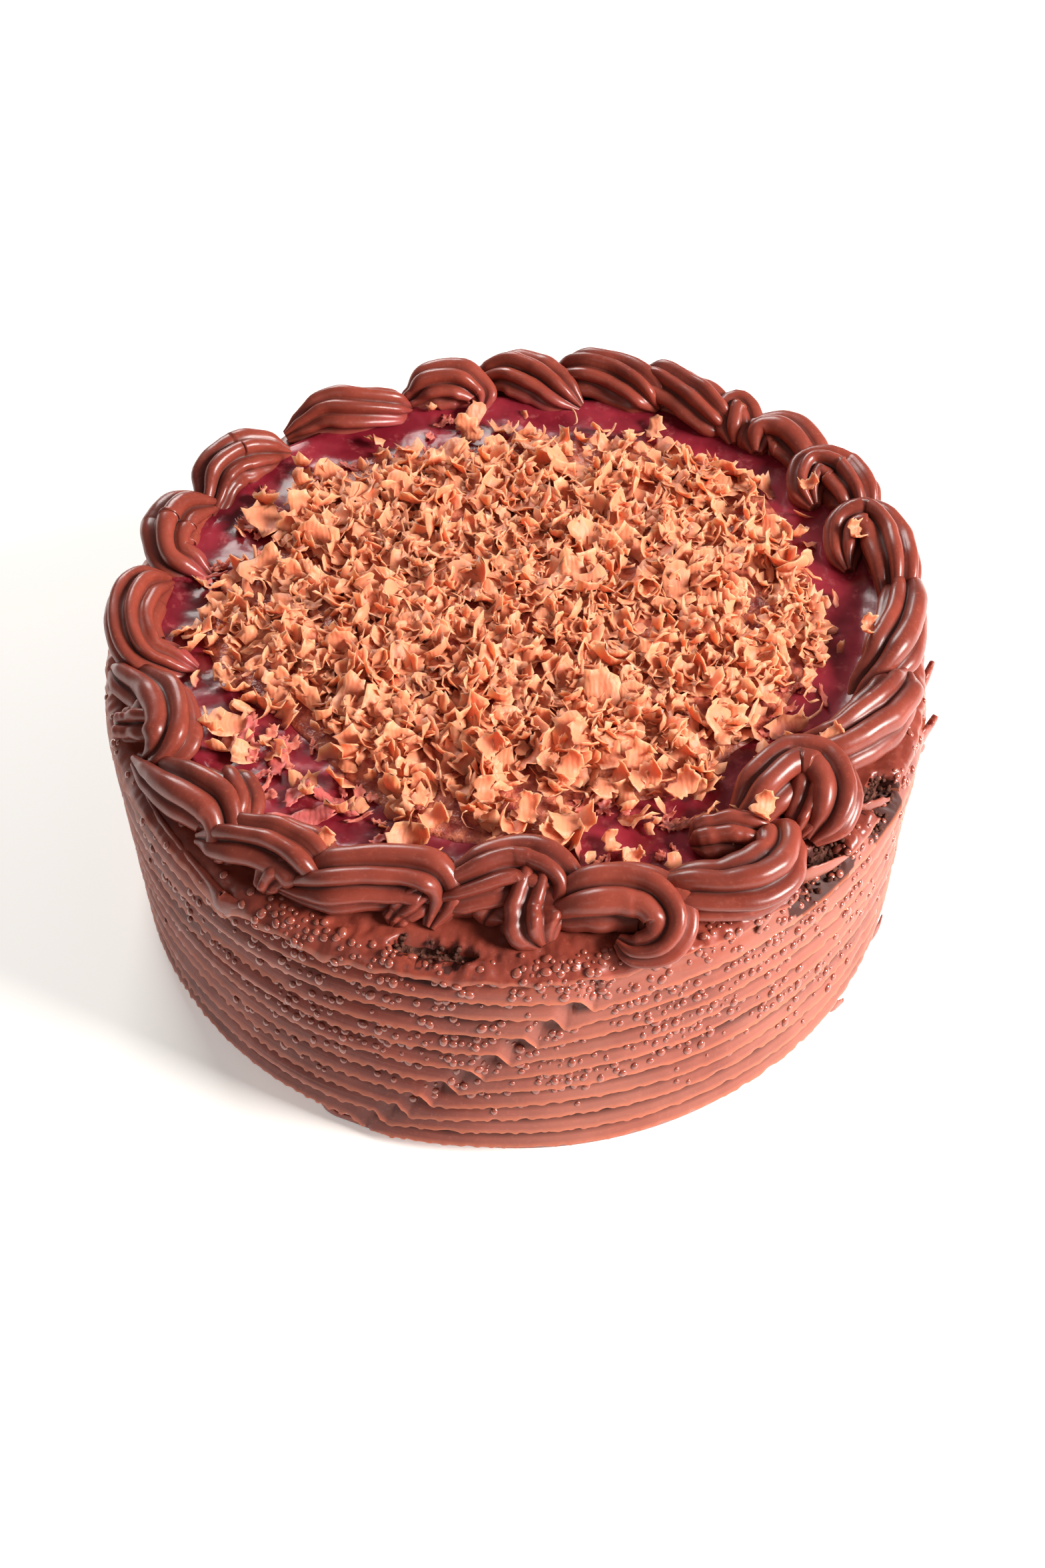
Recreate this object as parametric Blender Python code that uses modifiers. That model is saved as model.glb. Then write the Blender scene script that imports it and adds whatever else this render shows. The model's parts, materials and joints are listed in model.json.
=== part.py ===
# Round chocolate cake: sponge under comb-ridged frosting, jelly glaze on top,
# a ring of piped shells round it and a heap of chocolate shavings in the middle.
# Metres, +Z up, origin at the centre of the foot. The comb's seam is on the -Y side.
import math
import random

import bmesh
import bpy
from mathutils import Matrix, Vector, noise

MM = 0.001
GAP = 0.3 * MM
COLUMNS = 72

# Driving sizes of the frosted cake
CAKE_RADIUS = 101 * MM
CAKE_TOP = 80.8 * MM
FROSTING_DEPTH = 3.0 * MM
FROSTING_FOOT = 0.6 * MM
SHOULDER_START = 91 * MM
SHOULDER_RADIUS = 97.5 * MM
SHOULDER_DROP = 0.2 * MM
LIP_DROP = 1.2 * MM

# Comb fins on the wall
FIN_COUNT = 10
FIN_FIRST = 8.6 * MM
FIN_PITCH = 7.15 * MM
FIN_RADIUS = CAKE_RADIUS + 3.5 * MM
VALLEY_RADIUS = CAKE_RADIUS - 0.5 * MM
LIP_RADIUS = CAKE_RADIUS + 0.8 * MM

# Seam where the comb's pass starts and ends, in degrees round the cake
SEAM_AT_FOOT = 243.0
SEAM_CLIMB = 31.0
SEAM_RISE = 64 * MM
SEAM_DROP = 4.4 * MM
SEAM_FADE = 7.0

# Jelly, border and shavings
JELLY_DEPTH = 2.4 * MM
BORDER_RADIUS = 91 * MM
SHELL_RADIUS = 7.0 * MM
HEAP_RADIUS = 68 * MM
HEAP_HEIGHT = 5.2 * MM
FLAKE_COUNT = 48

SPONGE_RADIUS = VALLEY_RADIUS - FROSTING_DEPTH - GAP
SPONGE_TOP = CAKE_TOP - FROSTING_DEPTH - GAP
JELLY_FOOT = CAKE_TOP + GAP
JELLY_TOP = JELLY_FOOT + JELLY_DEPTH
HEAP_FOOT = JELLY_TOP + GAP


def clear_scene():
    for old in list(bpy.data.objects):
        bpy.data.objects.remove(old, do_unlink=True)


def new_collection(name):
    made = bpy.data.collections.new(name)
    bpy.context.scene.collection.children.link(made)
    return made


def food_material(name, colour, roughness):
    made = bpy.data.materials.new(name)
    made.use_nodes = True
    shader = made.node_tree.nodes["Principled BSDF"]
    shader.inputs["Base Color"].default_value = (*colour, 1)
    shader.inputs["Roughness"].default_value = roughness
    shader.inputs["Metallic"].default_value = 0
    return made


def add_object(name, data, collection):
    made = bpy.data.objects.new(name, data)
    collection.objects.link(made)
    return made


def as_cutter(obj):
    obj.hide_render = True
    obj.display_type = "WIRE"
    return obj


def freeze(obj, weld=True):
    """Turns a curve or an object with modifiers into a plain mesh, with a curve's caps welded."""
    bpy.context.view_layer.update()
    graph = bpy.context.evaluated_depsgraph_get()
    mesh = bpy.data.meshes.new_from_object(obj.evaluated_get(graph))
    name, collection, matrix = obj.name, obj.users_collection[0], obj.matrix_world.copy()
    hidden = obj.hide_render
    bpy.data.objects.remove(obj, do_unlink=True)
    if weld:
        body = bmesh.new()
        body.from_mesh(mesh)
        bmesh.ops.remove_doubles(body, verts=body.verts, dist=0.01 * MM)
        bmesh.ops.recalc_face_normals(body, faces=body.faces)
        body.to_mesh(mesh)
        body.free()
    made = add_object(name, mesh, collection)
    made.matrix_world = matrix
    if hidden:
        as_cutter(made)
    return made


def bearing_of(x, y):
    return math.degrees(math.atan2(y, x)) % 360


def on_bearing(bearing, radius, height):
    angle = math.radians(bearing)
    return Vector((radius * math.cos(angle), radius * math.sin(angle), height))


def turned(name, profile, collection, steps=COLUMNS):
    """A profile of (radius, height) points, listed down its outer side, turned about Z."""
    mesh = bpy.data.meshes.new(name)
    mesh.from_pydata([(r, 0, z) for r, z in profile], [(i, i + 1) for i in range(len(profile) - 1)], [])
    made = add_object(name, mesh, collection)
    screw = made.modifiers.new("turn", "SCREW")
    screw.steps = screw.render_steps = steps
    screw.use_merge_vertices = True
    screw.merge_threshold = 0.00001
    return freeze(made)


def boolean(obj, other, operation, solver="EXACT"):
    """Joins or cuts with an object or a whole collection, and applies it."""
    cut = obj.modifiers.new(operation.lower(), "BOOLEAN")
    cut.operation = operation
    cut.solver = solver
    if isinstance(other, bpy.types.Collection):
        cut.operand_type = "COLLECTION"
        cut.collection = other
    else:
        cut.object = other
    return freeze(obj, weld=False)


def drop_scraps(obj):
    """Keeps the largest joined piece of a mesh, so that no trimmed-off scrap floats free."""
    body = bmesh.new()
    body.from_mesh(obj.data)
    left, pieces = set(body.verts), []
    while left:
        front = [left.pop()]
        piece = set(front)
        while front:
            vert = front.pop()
            near = {edge.other_vert(vert) for edge in vert.link_edges} & left
            left -= near
            piece |= near
            front += near
        pieces.append(piece)
    keep = max(pieces, key=len)
    bmesh.ops.delete(body, geom=[vert for vert in body.verts if vert not in keep], context="VERTS")
    body.to_mesh(obj.data)
    body.free()
    return obj


def drop_collection(collection):
    for old in list(collection.objects):
        bpy.data.objects.remove(old, do_unlink=True)
    bpy.data.collections.remove(collection)


def make_sponge(parts):
    body = bmesh.new()
    bmesh.ops.create_cone(
        body, cap_ends=True, segments=COLUMNS, radius1=SPONGE_RADIUS, radius2=SPONGE_RADIUS,
        depth=SPONGE_TOP, matrix=Matrix.Translation((0, 0, SPONGE_TOP / 2)))
    mesh = bpy.data.meshes.new("sponge")
    body.to_mesh(mesh)
    body.free()
    return add_object("sponge", mesh, parts)


def seam_bearing(height):
    return SEAM_AT_FOOT + SEAM_CLIMB * height / SEAM_RISE


def comb_wander(bearing, height):
    """How far the comb's pass runs below its level height just past the seam, and its slow wobble."""
    past = bearing - seam_bearing(height)
    drop = SEAM_DROP * math.exp(-past / SEAM_FADE) if past >= 0 else 0
    wobble = noise.noise(on_bearing(bearing, 1.3, height / (40 * MM)))
    return 0.9 * MM * wobble - drop


def frosting_profile():
    points = [(0, CAKE_TOP), (SHOULDER_START, CAKE_TOP), (SHOULDER_RADIUS, CAKE_TOP - SHOULDER_DROP),
              (LIP_RADIUS, CAKE_TOP - LIP_DROP), (VALLEY_RADIUS + 0.2 * MM, CAKE_TOP - 3.4 * MM)]
    for level in reversed(range(FIN_COUNT)):
        fin = FIN_FIRST + level * FIN_PITCH
        points += [(VALLEY_RADIUS, fin + 0.62 * FIN_PITCH), (VALLEY_RADIUS + 0.5 * MM, fin + 0.2 * FIN_PITCH),
                   (FIN_RADIUS, fin)]
    inside = SPONGE_RADIUS + GAP
    points += [(CAKE_RADIUS, FIN_FIRST - 3 * MM), (CAKE_RADIUS, FROSTING_FOOT),
               (inside, FROSTING_FOOT), (inside, SPONGE_TOP + GAP), (0, SPONGE_TOP + GAP)]
    return points


def ellipsoid(name, bearing, radius, height, half_sizes, collection, segments=12):
    """A rounded lump whose half sizes run outward, along the wall and up."""
    body = bmesh.new()
    bmesh.ops.create_uvsphere(body, u_segments=segments, v_segments=segments // 2, radius=1)
    turn = Matrix.Rotation(math.radians(bearing), 4, "Z")
    place = Matrix.Translation(on_bearing(bearing, radius, height))
    bmesh.ops.transform(body, matrix=place @ turn @ Matrix.Diagonal((*half_sizes, 1)), verts=body.verts)
    mesh = bpy.data.meshes.new(name)
    body.to_mesh(mesh)
    body.free()
    return add_object(name, mesh, collection)


def torn_fin(name, bearing, height, length, lean, collection):
    """A torn tongue of frosting: a flattened cone that stands out of the wall."""
    body = bmesh.new()
    root, tip = 2.6 * MM, 0.4 * MM
    bmesh.ops.create_cone(body, cap_ends=True, segments=8, radius1=root, radius2=tip, depth=length)
    outward = Matrix.Rotation(math.radians(90 - lean), 4, "Y")
    turn = Matrix.Rotation(math.radians(bearing), 4, "Z")
    place = Matrix.Translation(on_bearing(bearing, VALLEY_RADIUS + length * 0.36, height))
    flat = Matrix.Diagonal((0.45, 1.7, 1, 1))
    bmesh.ops.transform(body, matrix=place @ turn @ outward @ flat, verts=body.verts)
    mesh = bpy.data.meshes.new(name)
    body.to_mesh(mesh)
    body.free()
    return add_object(name, mesh, collection)


def make_frosting(parts, cutters):
    frosting = turned("frosting", frosting_profile(), parts)
    for vertex in frosting.data.vertices:
        x, y, z = vertex.co
        wall = math.hypot(x, y) > VALLEY_RADIUS - 0.1 * MM and FIN_FIRST - 4 * MM < z < CAKE_TOP - 4 * MM
        if wall:
            vertex.co.z = max(z + comb_wander(bearing_of(x, y), z), 2 * FROSTING_FOOT)
    extras = new_collection("frosting_extras")
    for number, (bearing, height, length, lean) in enumerate(
            ((349, 62 * MM, 11 * MM, 18), (356, 72 * MM, 9 * MM, 24), (3, 74 * MM, 9 * MM, 35))):
        torn_fin(f"torn_fin_{number}", bearing, height, length, lean, extras)
    ellipsoid("drip", 229, LIP_RADIUS, CAKE_TOP - 6 * MM, (1.9 * MM, 3.4 * MM, 5.6 * MM), extras, 10)
    ellipsoid("foot_curl", 243, CAKE_RADIUS + 1.5 * MM, 2.8 * MM, (3.4 * MM, 6.5 * MM, 1.7 * MM), extras, 10)
    frosting = boolean(frosting, extras, "UNION")
    drop_collection(extras)
    openings = (("slit", 258.5, 97.3 * MM, CAKE_TOP - 1 * MM, (1.8 * MM, 9.6 * MM, 3.2 * MM)),
                ("bare_patch_low", 314, 98.6 * MM, CAKE_TOP - 1.8 * MM, (4 * MM, 10.5 * MM, 3.6 * MM)),
                ("bare_patch_high", 329, 98.8 * MM, CAKE_TOP - 2.6 * MM, (3.6 * MM, 8 * MM, 4.2 * MM)))
    for name, bearing, radius, height, half_sizes in openings:
        cutter = as_cutter(ellipsoid(name, bearing, radius, height, half_sizes, cutters))
        frosting = boolean(frosting, cutter, "DIFFERENCE")
    return frosting


def border_radius(bearing):
    """Middle of the piped ring: it was piped a little further in at the front than at the back."""
    angle = math.radians(bearing)
    return BORDER_RADIUS + 4.5 * MM * math.sin(angle) + 1.5 * MM * math.cos(2 * angle)


def jelly_disc(name, grow, collection):
    """The jelly's own shape, or one grown all round that cuts room for it."""
    edge = 1 * MM
    top, foot = JELLY_TOP + grow, JELLY_FOOT - 4 * grow
    profile = [(0, top), (1 - 0.035, top), (1 - 0.01, top - 0.3 * edge), (1, top - edge), (1, foot), (0, foot)]
    disc = turned(name, profile, collection, 48)
    for vertex in disc.data.vertices:
        x, y, z = vertex.co
        reach = math.hypot(x, y)
        if reach > 0.5:
            bearing = bearing_of(x, y)
            ripple = 0.8 * MM * math.sin(math.radians(7 * bearing)) + 0.6 * MM * math.sin(math.radians(11 * bearing))
            radius = (border_radius(bearing) - 7 * MM + ripple + grow) * reach
            vertex.co = on_bearing(bearing, radius, z)
    return disc


# Strokes of the piping bag. Each point: along the ring, outward, up, all in mm, and share of full width.
STROKES = {
    "roll": ((-15, -3, 1.0, 0.5), (-8, -3.5, 3.6, 0.9), (0, -2.5, 5.0, 1.0), (8, 0, 4.8, 1.0),
             (12, 5, 3.4, 0.85), (9.5, 9, 0.4, 0.6)),
    "sweep": ((-16, -6, 1.0, 0.5), (-8, -4, 3.8, 0.85), (0, -1, 5.0, 1.0), (8, 2, 5.0, 0.95), (14, 5, 2.6, 0.7)),
    "curl": ((-11, -5, 1.0, 0.5), (-8, 0.5, 3.4, 0.8), (-1, 3.4, 4.8, 0.95), (7, 2.2, 4.8, 0.95),
             (9.5, -3, 3.8, 0.8), (5.5, -5.5, 2.0, 0.5)),
}
# Shells in the order they were piped: bearing in degrees, stroke, size and shift outward in mm.
SHELLS = (
    (195, "roll", 0.95, 0), (213, "sweep", 1.0, -1), (232, "roll", 1.0, -2), (250, "roll", 1.0, -3),
    (267, "roll", 1.05, -3), (284, "roll", 1.0, 2), (301, "sweep", 1.05, 2), (320, "roll", 1.1, 0),
    (336, "sweep", 1.05, 0), (352, "sweep", 1.0, 0), (10, "curl", 1.1, 0), (27, "curl", 1.0, 0),
    (41, "curl", 0.9, 0), (52, "curl", 0.8, 0), (65, "sweep", 1.05, 1), (80, "sweep", 1.05, 1),
    (95, "sweep", 0.95, 0), (108, "sweep", 0.9, 0), (123, "sweep", 0.9, 1), (141, "curl", 0.95, 0),
    (159, "curl", 0.95, 0), (177, "curl", 1.0, 0),
)
STAR_LOBES = 6
STAR_WAIST = 0.76


def star_section(guides):
    """The star nozzle's outline, as a closed flat curve that the strokes are swept with."""
    curve = bpy.data.curves.new("star_section", "CURVE")
    curve.dimensions = "2D"
    spline = curve.splines.new("POLY")
    spline.points.add(2 * STAR_LOBES - 1)
    for number, point in enumerate(spline.points):
        angle = math.pi * number / STAR_LOBES
        reach = SHELL_RADIUS * (1 if number % 2 == 0 else STAR_WAIST)
        point.co = (reach * math.cos(angle), reach * math.sin(angle), 0, 1)
    spline.use_cyclic_u = True
    return as_cutter(add_object("star_section", curve, guides))


def piped_shell(name, bearing, stroke, size, shift, section, collection):
    curve = bpy.data.curves.new(name, "CURVE")
    curve.dimensions = "3D"
    curve.resolution_u = 1
    curve.bevel_mode = "OBJECT"
    curve.bevel_object = section
    curve.use_fill_caps = True
    curve.twist_mode = "MINIMUM"
    points = STROKES[stroke]
    spline = curve.splines.new("BEZIER")
    spline.bezier_points.add(len(points) - 1)
    for knot, (along, outward, up, width) in zip(spline.bezier_points, points):
        where = bearing + math.degrees(along * size * MM / BORDER_RADIUS)
        knot.co = on_bearing(where, border_radius(where) + (shift + outward * size) * MM, CAKE_TOP + up * size * MM)
        knot.radius = width * size
        knot.handle_left_type = knot.handle_right_type = "AUTO"
    return freeze(add_object(name, curve, collection))


def make_border(parts, cutters):
    section = star_section(cutters)
    foot, crest = CAKE_TOP - 1 * MM, CAKE_TOP + 4 * MM
    inner, outer = -5 * MM, 5 * MM
    ring = turned("piped_border", [(1, crest), (2, crest), (2, foot), (1, foot), (1, crest)], parts, 48)
    for vertex in ring.data.vertices:
        x, y, z = vertex.co
        bearing = bearing_of(x, y)
        offset = outer if math.hypot(x, y) > 1.5 else inner
        vertex.co = on_bearing(bearing, border_radius(bearing) + offset, z)
    strokes = new_collection("strokes")
    for number, (bearing, stroke, size, shift) in enumerate(SHELLS):
        piped_shell(f"shell_{number}", bearing, stroke, size, shift, section, strokes)
    border = boolean(ring, strokes, "UNION", "MANIFOLD")
    drop_collection(strokes)
    under = CAKE_TOP - 12 * MM
    room = [(0, CAKE_TOP + GAP), (SHOULDER_START, CAKE_TOP + GAP),
            (SHOULDER_RADIUS + 0.2 * MM, CAKE_TOP - SHOULDER_DROP + GAP),
            (LIP_RADIUS + GAP, CAKE_TOP - LIP_DROP + GAP), (LIP_RADIUS + GAP, under), (0, under)]
    border = boolean(border, as_cutter(turned("frosting_room", room, cutters)), "DIFFERENCE", "MANIFOLD")
    jelly_room = as_cutter(jelly_disc("jelly_room", GAP, cutters))
    return drop_scraps(boolean(border, jelly_room, "DIFFERENCE", "MANIFOLD"))


def heap_reach(bearing):
    """Uneven outline of the shavings, in metres from the middle."""
    angle = math.radians(bearing)
    uneven = noise.noise(Vector((1.6 * math.cos(angle), 1.6 * math.sin(angle), 4.2)))
    return HEAP_RADIUS + 3.2 * MM * math.sin(angle) + 4.5 * MM * uneven


def heap_rise(bearing, share):
    """Height of the heap's core over the jelly, at a share of the way out to its edge."""
    spot = on_bearing(bearing, share * heap_reach(bearing), 0)
    lumps = 1.2 * MM * noise.noise(spot / (16 * MM)) + 2.2 * MM * noise.noise(spot / (5 * MM))
    return HEAP_HEIGHT * (1 - 0.6 * share ** 3) + lumps


def make_heap_core(parts):
    rings = (0.0, 0.16, 0.32, 0.47, 0.61, 0.74, 0.87, 0.97, 1.0)
    core = turned("shavings", [(share, 1) for share in rings] + [(1.0, 0), (0, 0)], parts, 36)
    for vertex in core.data.vertices:
        x, y, crest = vertex.co
        bearing, share = bearing_of(x, y), min(math.hypot(x, y), 1)
        vertex.co = on_bearing(bearing, share * heap_reach(bearing), HEAP_FOOT + crest * heap_rise(bearing, share))
    return core


def shaving(name, draw, collection):
    """One curled flake of chocolate: a strip bent into part of a roll, lying at a random tilt."""
    length, width = draw.uniform(9, 15) * MM, draw.uniform(5.5, 9) * MM
    curl, thick = draw.uniform(6, 13) * MM, 1.1 * MM
    body = bmesh.new()
    bmesh.ops.create_grid(body, x_segments=2, y_segments=1, size=0.5)
    for vertex in body.verts:
        turn = (vertex.co.x - 0.1) * length / curl
        taper = 1 - 0.5 * abs(vertex.co.x) * draw.random()
        vertex.co = Vector((curl * math.sin(turn), vertex.co.y * width * taper, curl * (1 - math.cos(turn))))
    bmesh.ops.solidify(body, geom=body.verts[:] + body.edges[:] + body.faces[:], thickness=thick)
    bmesh.ops.recalc_face_normals(body, faces=body.faces)
    bearing, share = draw.uniform(0, 360), 0.93 * math.sqrt(draw.uniform(0, 1))
    reach = share * heap_reach(bearing)
    height = HEAP_FOOT + heap_rise(bearing, share) + draw.uniform(0.2, 1.6) * MM
    tilt = (Matrix.Rotation(draw.uniform(0, 2 * math.pi), 4, "Z") @ Matrix.Rotation(draw.uniform(-0.7, 0.7), 4, "X")
            @ Matrix.Rotation(draw.uniform(-0.5, 0.5), 4, "Y"))
    bmesh.ops.transform(body, matrix=Matrix.Translation(on_bearing(bearing, reach, height)) @ tilt, verts=body.verts)
    mesh = bpy.data.meshes.new(name)
    body.to_mesh(mesh)
    body.free()
    return add_object(name, mesh, collection)


def make_shavings(parts, cutters):
    draw = random.Random(7)
    core = make_heap_core(parts)
    flakes = new_collection("flakes")
    for number in range(FLAKE_COUNT):
        shaving(f"flake_{number}", draw, flakes)
    heap = boolean(core, flakes, "UNION", "MANIFOLD")
    drop_collection(flakes)
    below = [(0, HEAP_FOOT), (120 * MM, HEAP_FOOT), (120 * MM, 60 * MM), (0, 60 * MM)]
    under = as_cutter(turned("jelly_top_room", below, cutters, 24))
    return drop_scraps(boolean(heap, under, "DIFFERENCE", "MANIFOLD"))


def finish(obj, material, smooth_angle=40):
    obj.data.materials.clear()
    obj.data.materials.append(material)
    obj.data.shade_smooth()
    obj.data.set_sharp_from_angle(angle=math.radians(smooth_angle))


def main():
    clear_scene()
    parts = new_collection("chocolate_cake")
    cutters = new_collection("cutters")
    finish(make_sponge(parts), food_material("sponge_crumb", (0.035, 0.012, 0.008), 0.9))
    finish(make_frosting(parts, cutters), food_material("comb_frosting", (0.20, 0.065, 0.04), 0.38))
    finish(jelly_disc("jelly_glaze", 0, parts), food_material("red_jelly", (0.13, 0.012, 0.025), 0.12))
    finish(make_border(parts, cutters), food_material("piped_frosting", (0.22, 0.075, 0.048), 0.32))
    finish(make_shavings(parts, cutters), food_material("milk_chocolate", (0.50, 0.22, 0.11), 0.55), 25)


main()
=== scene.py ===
import json
import math
import random

import bmesh
import bpy
import numpy as np
from mathutils import Euler, Matrix, Vector, noise

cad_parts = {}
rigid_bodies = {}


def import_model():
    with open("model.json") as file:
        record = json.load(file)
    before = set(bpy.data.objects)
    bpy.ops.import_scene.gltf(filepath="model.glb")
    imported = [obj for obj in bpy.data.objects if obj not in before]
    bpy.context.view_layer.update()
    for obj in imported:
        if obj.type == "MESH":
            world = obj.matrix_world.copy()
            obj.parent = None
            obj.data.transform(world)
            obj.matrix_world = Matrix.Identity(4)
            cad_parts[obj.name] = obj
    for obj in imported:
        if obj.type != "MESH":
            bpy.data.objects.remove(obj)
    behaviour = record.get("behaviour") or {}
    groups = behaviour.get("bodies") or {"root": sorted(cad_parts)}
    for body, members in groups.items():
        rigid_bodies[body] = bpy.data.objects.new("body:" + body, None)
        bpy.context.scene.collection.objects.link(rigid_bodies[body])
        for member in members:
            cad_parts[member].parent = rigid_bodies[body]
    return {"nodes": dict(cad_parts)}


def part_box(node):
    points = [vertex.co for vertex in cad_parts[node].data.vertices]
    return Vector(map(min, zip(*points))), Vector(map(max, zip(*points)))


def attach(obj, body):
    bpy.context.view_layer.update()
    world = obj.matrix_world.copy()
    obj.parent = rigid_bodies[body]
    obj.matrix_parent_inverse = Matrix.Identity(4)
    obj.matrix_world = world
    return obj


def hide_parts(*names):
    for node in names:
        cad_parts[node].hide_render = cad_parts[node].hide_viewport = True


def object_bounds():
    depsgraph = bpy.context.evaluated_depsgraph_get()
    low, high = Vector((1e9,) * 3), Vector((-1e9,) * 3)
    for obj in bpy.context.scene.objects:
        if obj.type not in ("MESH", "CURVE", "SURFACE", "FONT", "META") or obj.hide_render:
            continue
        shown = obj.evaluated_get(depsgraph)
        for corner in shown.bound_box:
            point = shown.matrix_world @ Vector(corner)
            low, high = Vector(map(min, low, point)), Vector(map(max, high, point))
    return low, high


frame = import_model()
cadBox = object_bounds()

mm = 0.001
scene = bpy.context.scene

# The cake as the frame gives it, in metres
spongeRadius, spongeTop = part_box("sponge")[1][0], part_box("sponge")[1][2]
wallRadius = spongeRadius + 3.3 * mm  # the bottom of the combed valleys
jellyFoot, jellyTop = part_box("jelly_glaze")[0][2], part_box("jelly_glaze")[1][2]


def onBearing(bearing, radius, height):  # bearings in degrees, 0 at the right and 90 at the back
    angle = math.radians(bearing)
    return Vector((radius * math.cos(angle), radius * math.sin(angle), height))


def bearingOf(place):
    return math.degrees(math.atan2(place[1], place[0])) % 360


def evenBearings(columns):
    return [360 * column / columns for column in range(columns)]


def turnBetween(bearing, other):  # the shorter way round, in degrees
    return (bearing - other + 180) % 360 - 180


def smoothStep(low, high, value):
    share = min(max((value - low) / (high - low), 0), 1)
    return share * share * (3 - 2 * share)


def roundTable(table, bearing):  # values at even bearings, blended smoothly in between
    place = (bearing % 360) * len(table) / 360
    first = int(place) % len(table)
    share = smoothStep(0, 1, place - int(place))
    return table[first] * (1 - share) + table[(first + 1) % len(table)] * share


def addObject(name, data, collection=None):
    made = bpy.data.objects.new(name, data)
    (collection or scene.collection).objects.link(made)
    return made


def markPoints(mesh, label, values):  # a number at each point, for the materials and the scattering
    mesh.attributes.new(label, "FLOAT", "POINT").data.foreach_set("value", values)


def outward(mesh):  # turns every face out on a closed mesh
    body = bmesh.new()
    body.from_mesh(mesh)
    bmesh.ops.recalc_face_normals(body, faces=body.faces)
    body.to_mesh(mesh)
    body.free()
    return mesh


def ringMesh(name, rings, lowPole=None, highPole=None, sharp=180):  # closed by poles, or on themselves
    rows, columns = len(rings), len(rings[0])
    points = [tuple(point) for ring in rings for point in ring]
    faces = []
    for row in range(rows if lowPole is None else rows - 1):
        here, above = row * columns, ((row + 1) % rows) * columns
        for column in range(columns):
            beside = (column + 1) % columns
            faces.append((here + column, here + beside, above + beside, above + column))
    for pole, first, step in ((lowPole, 0, -1), (highPole, (rows - 1) * columns, 1)):
        if pole is not None:
            points.append(tuple(pole))
            for column in range(columns):
                pair = (first + column, first + (column + 1) % columns)[::step]
                faces.append((*pair, len(points) - 1))
    mesh = bpy.data.meshes.new(name)
    mesh.from_pydata(points, [], faces)
    mesh.shade_smooth()
    outward(mesh)
    if sharp < 180:
        mesh.set_sharp_from_angle(angle=math.radians(sharp))
    return mesh


def joinPieces(name, meshes, material, smooth=True):
    body = bmesh.new()
    for mesh in meshes:
        body.from_mesh(mesh)
        bpy.data.meshes.remove(mesh)
    joined = bpy.data.meshes.new(name)
    body.to_mesh(joined)
    body.free()
    if smooth:
        joined.shade_smooth()
    joined.materials.append(material)
    return addObject(name, joined)


def smoothPath(knots, steps):  # Catmull-Rom curve through the knots
    knots = np.array(knots, float)
    padded = np.vstack([2 * knots[0] - knots[1], knots, 2 * knots[-1] - knots[-2]])
    path = []
    for share in np.linspace(0, len(knots) - 1, steps):
        part = min(int(share), len(knots) - 2)
        t = share - part
        a, b, c, d = padded[part:part + 4]
        path.append(0.5 * (2 * b + (c - a) * t + (2 * a - 5 * b + 4 * c - d) * t ** 2
                           + (3 * b - a - 3 * c + d) * t ** 3))
    return path


class Nodes:  # a short way to write a node tree
    def __init__(self, tree):
        self.tree = tree

    def add(self, kind, inputs=None, **settings):
        node = self.tree.nodes.new(kind)
        for key, value in settings.items():
            setattr(node, key, value)
        for key, value in (inputs or {}).items():
            if isinstance(value, bpy.types.NodeSocket):
                self.tree.links.new(value, node.inputs[key])
            else:
                node.inputs[key].default_value = value
        return node

    def math(self, operation, first, second=0.0, third=0.0):
        return self.add("ShaderNodeMath", {0: first, 1: second, 2: third}, operation=operation).outputs[0]

    def times(self, first, second):
        return self.math("MULTIPLY", first, second)

    def mix(self, factor, first, second):
        return self.add("ShaderNodeMix", {"Factor": factor, 6: first, 7: second}, data_type="RGBA").outputs[2]

    def range(self, value, low, high, toLow=0.0, toHigh=1.0):
        return self.add("ShaderNodeMapRange", {0: value, 1: low, 2: high, 3: toLow, 4: toHigh}).outputs[0]

    def noise(self, vector, scale, detail=3.0, rough=0.5):
        return self.add("ShaderNodeTexNoise", {"Vector": vector, "Scale": scale, "Detail": detail,
                                               "Roughness": rough}).outputs[0]

    def scale(self, vector, factor):
        return self.add("ShaderNodeVectorMath", {0: vector, "Scale": factor}, operation="SCALE").outputs[0]

    def attribute(self, name):
        return self.add("ShaderNodeAttribute", attribute_name=name).outputs["Fac"]


def newMaterial(name, shaderValues):
    made = bpy.data.materials.new(name)
    made.use_nodes = True
    nodes = Nodes(made.node_tree)
    shader = made.node_tree.nodes["Principled BSDF"]
    for key, value in shaderValues.items():
        shader.inputs[key].default_value = value
    return made, nodes, shader, nodes.add("ShaderNodeTexCoord").outputs["Object"]


def finishMaterial(nodes, shader, colour, bumps, roughness=None):  # bumps: height, strength, distance
    nodes.tree.links.new(colour, shader.inputs["Base Color"])
    if roughness is not None:
        nodes.tree.links.new(roughness, shader.inputs["Roughness"])
    normal = None
    for height, strength, distance in bumps:
        inputs = {"Height": height, "Strength": strength, "Distance": distance}
        if normal is not None:
            inputs["Normal"] = normal
        normal = nodes.add("ShaderNodeBump", inputs).outputs[0]
    nodes.tree.links.new(normal, shader.inputs["Normal"])


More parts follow.
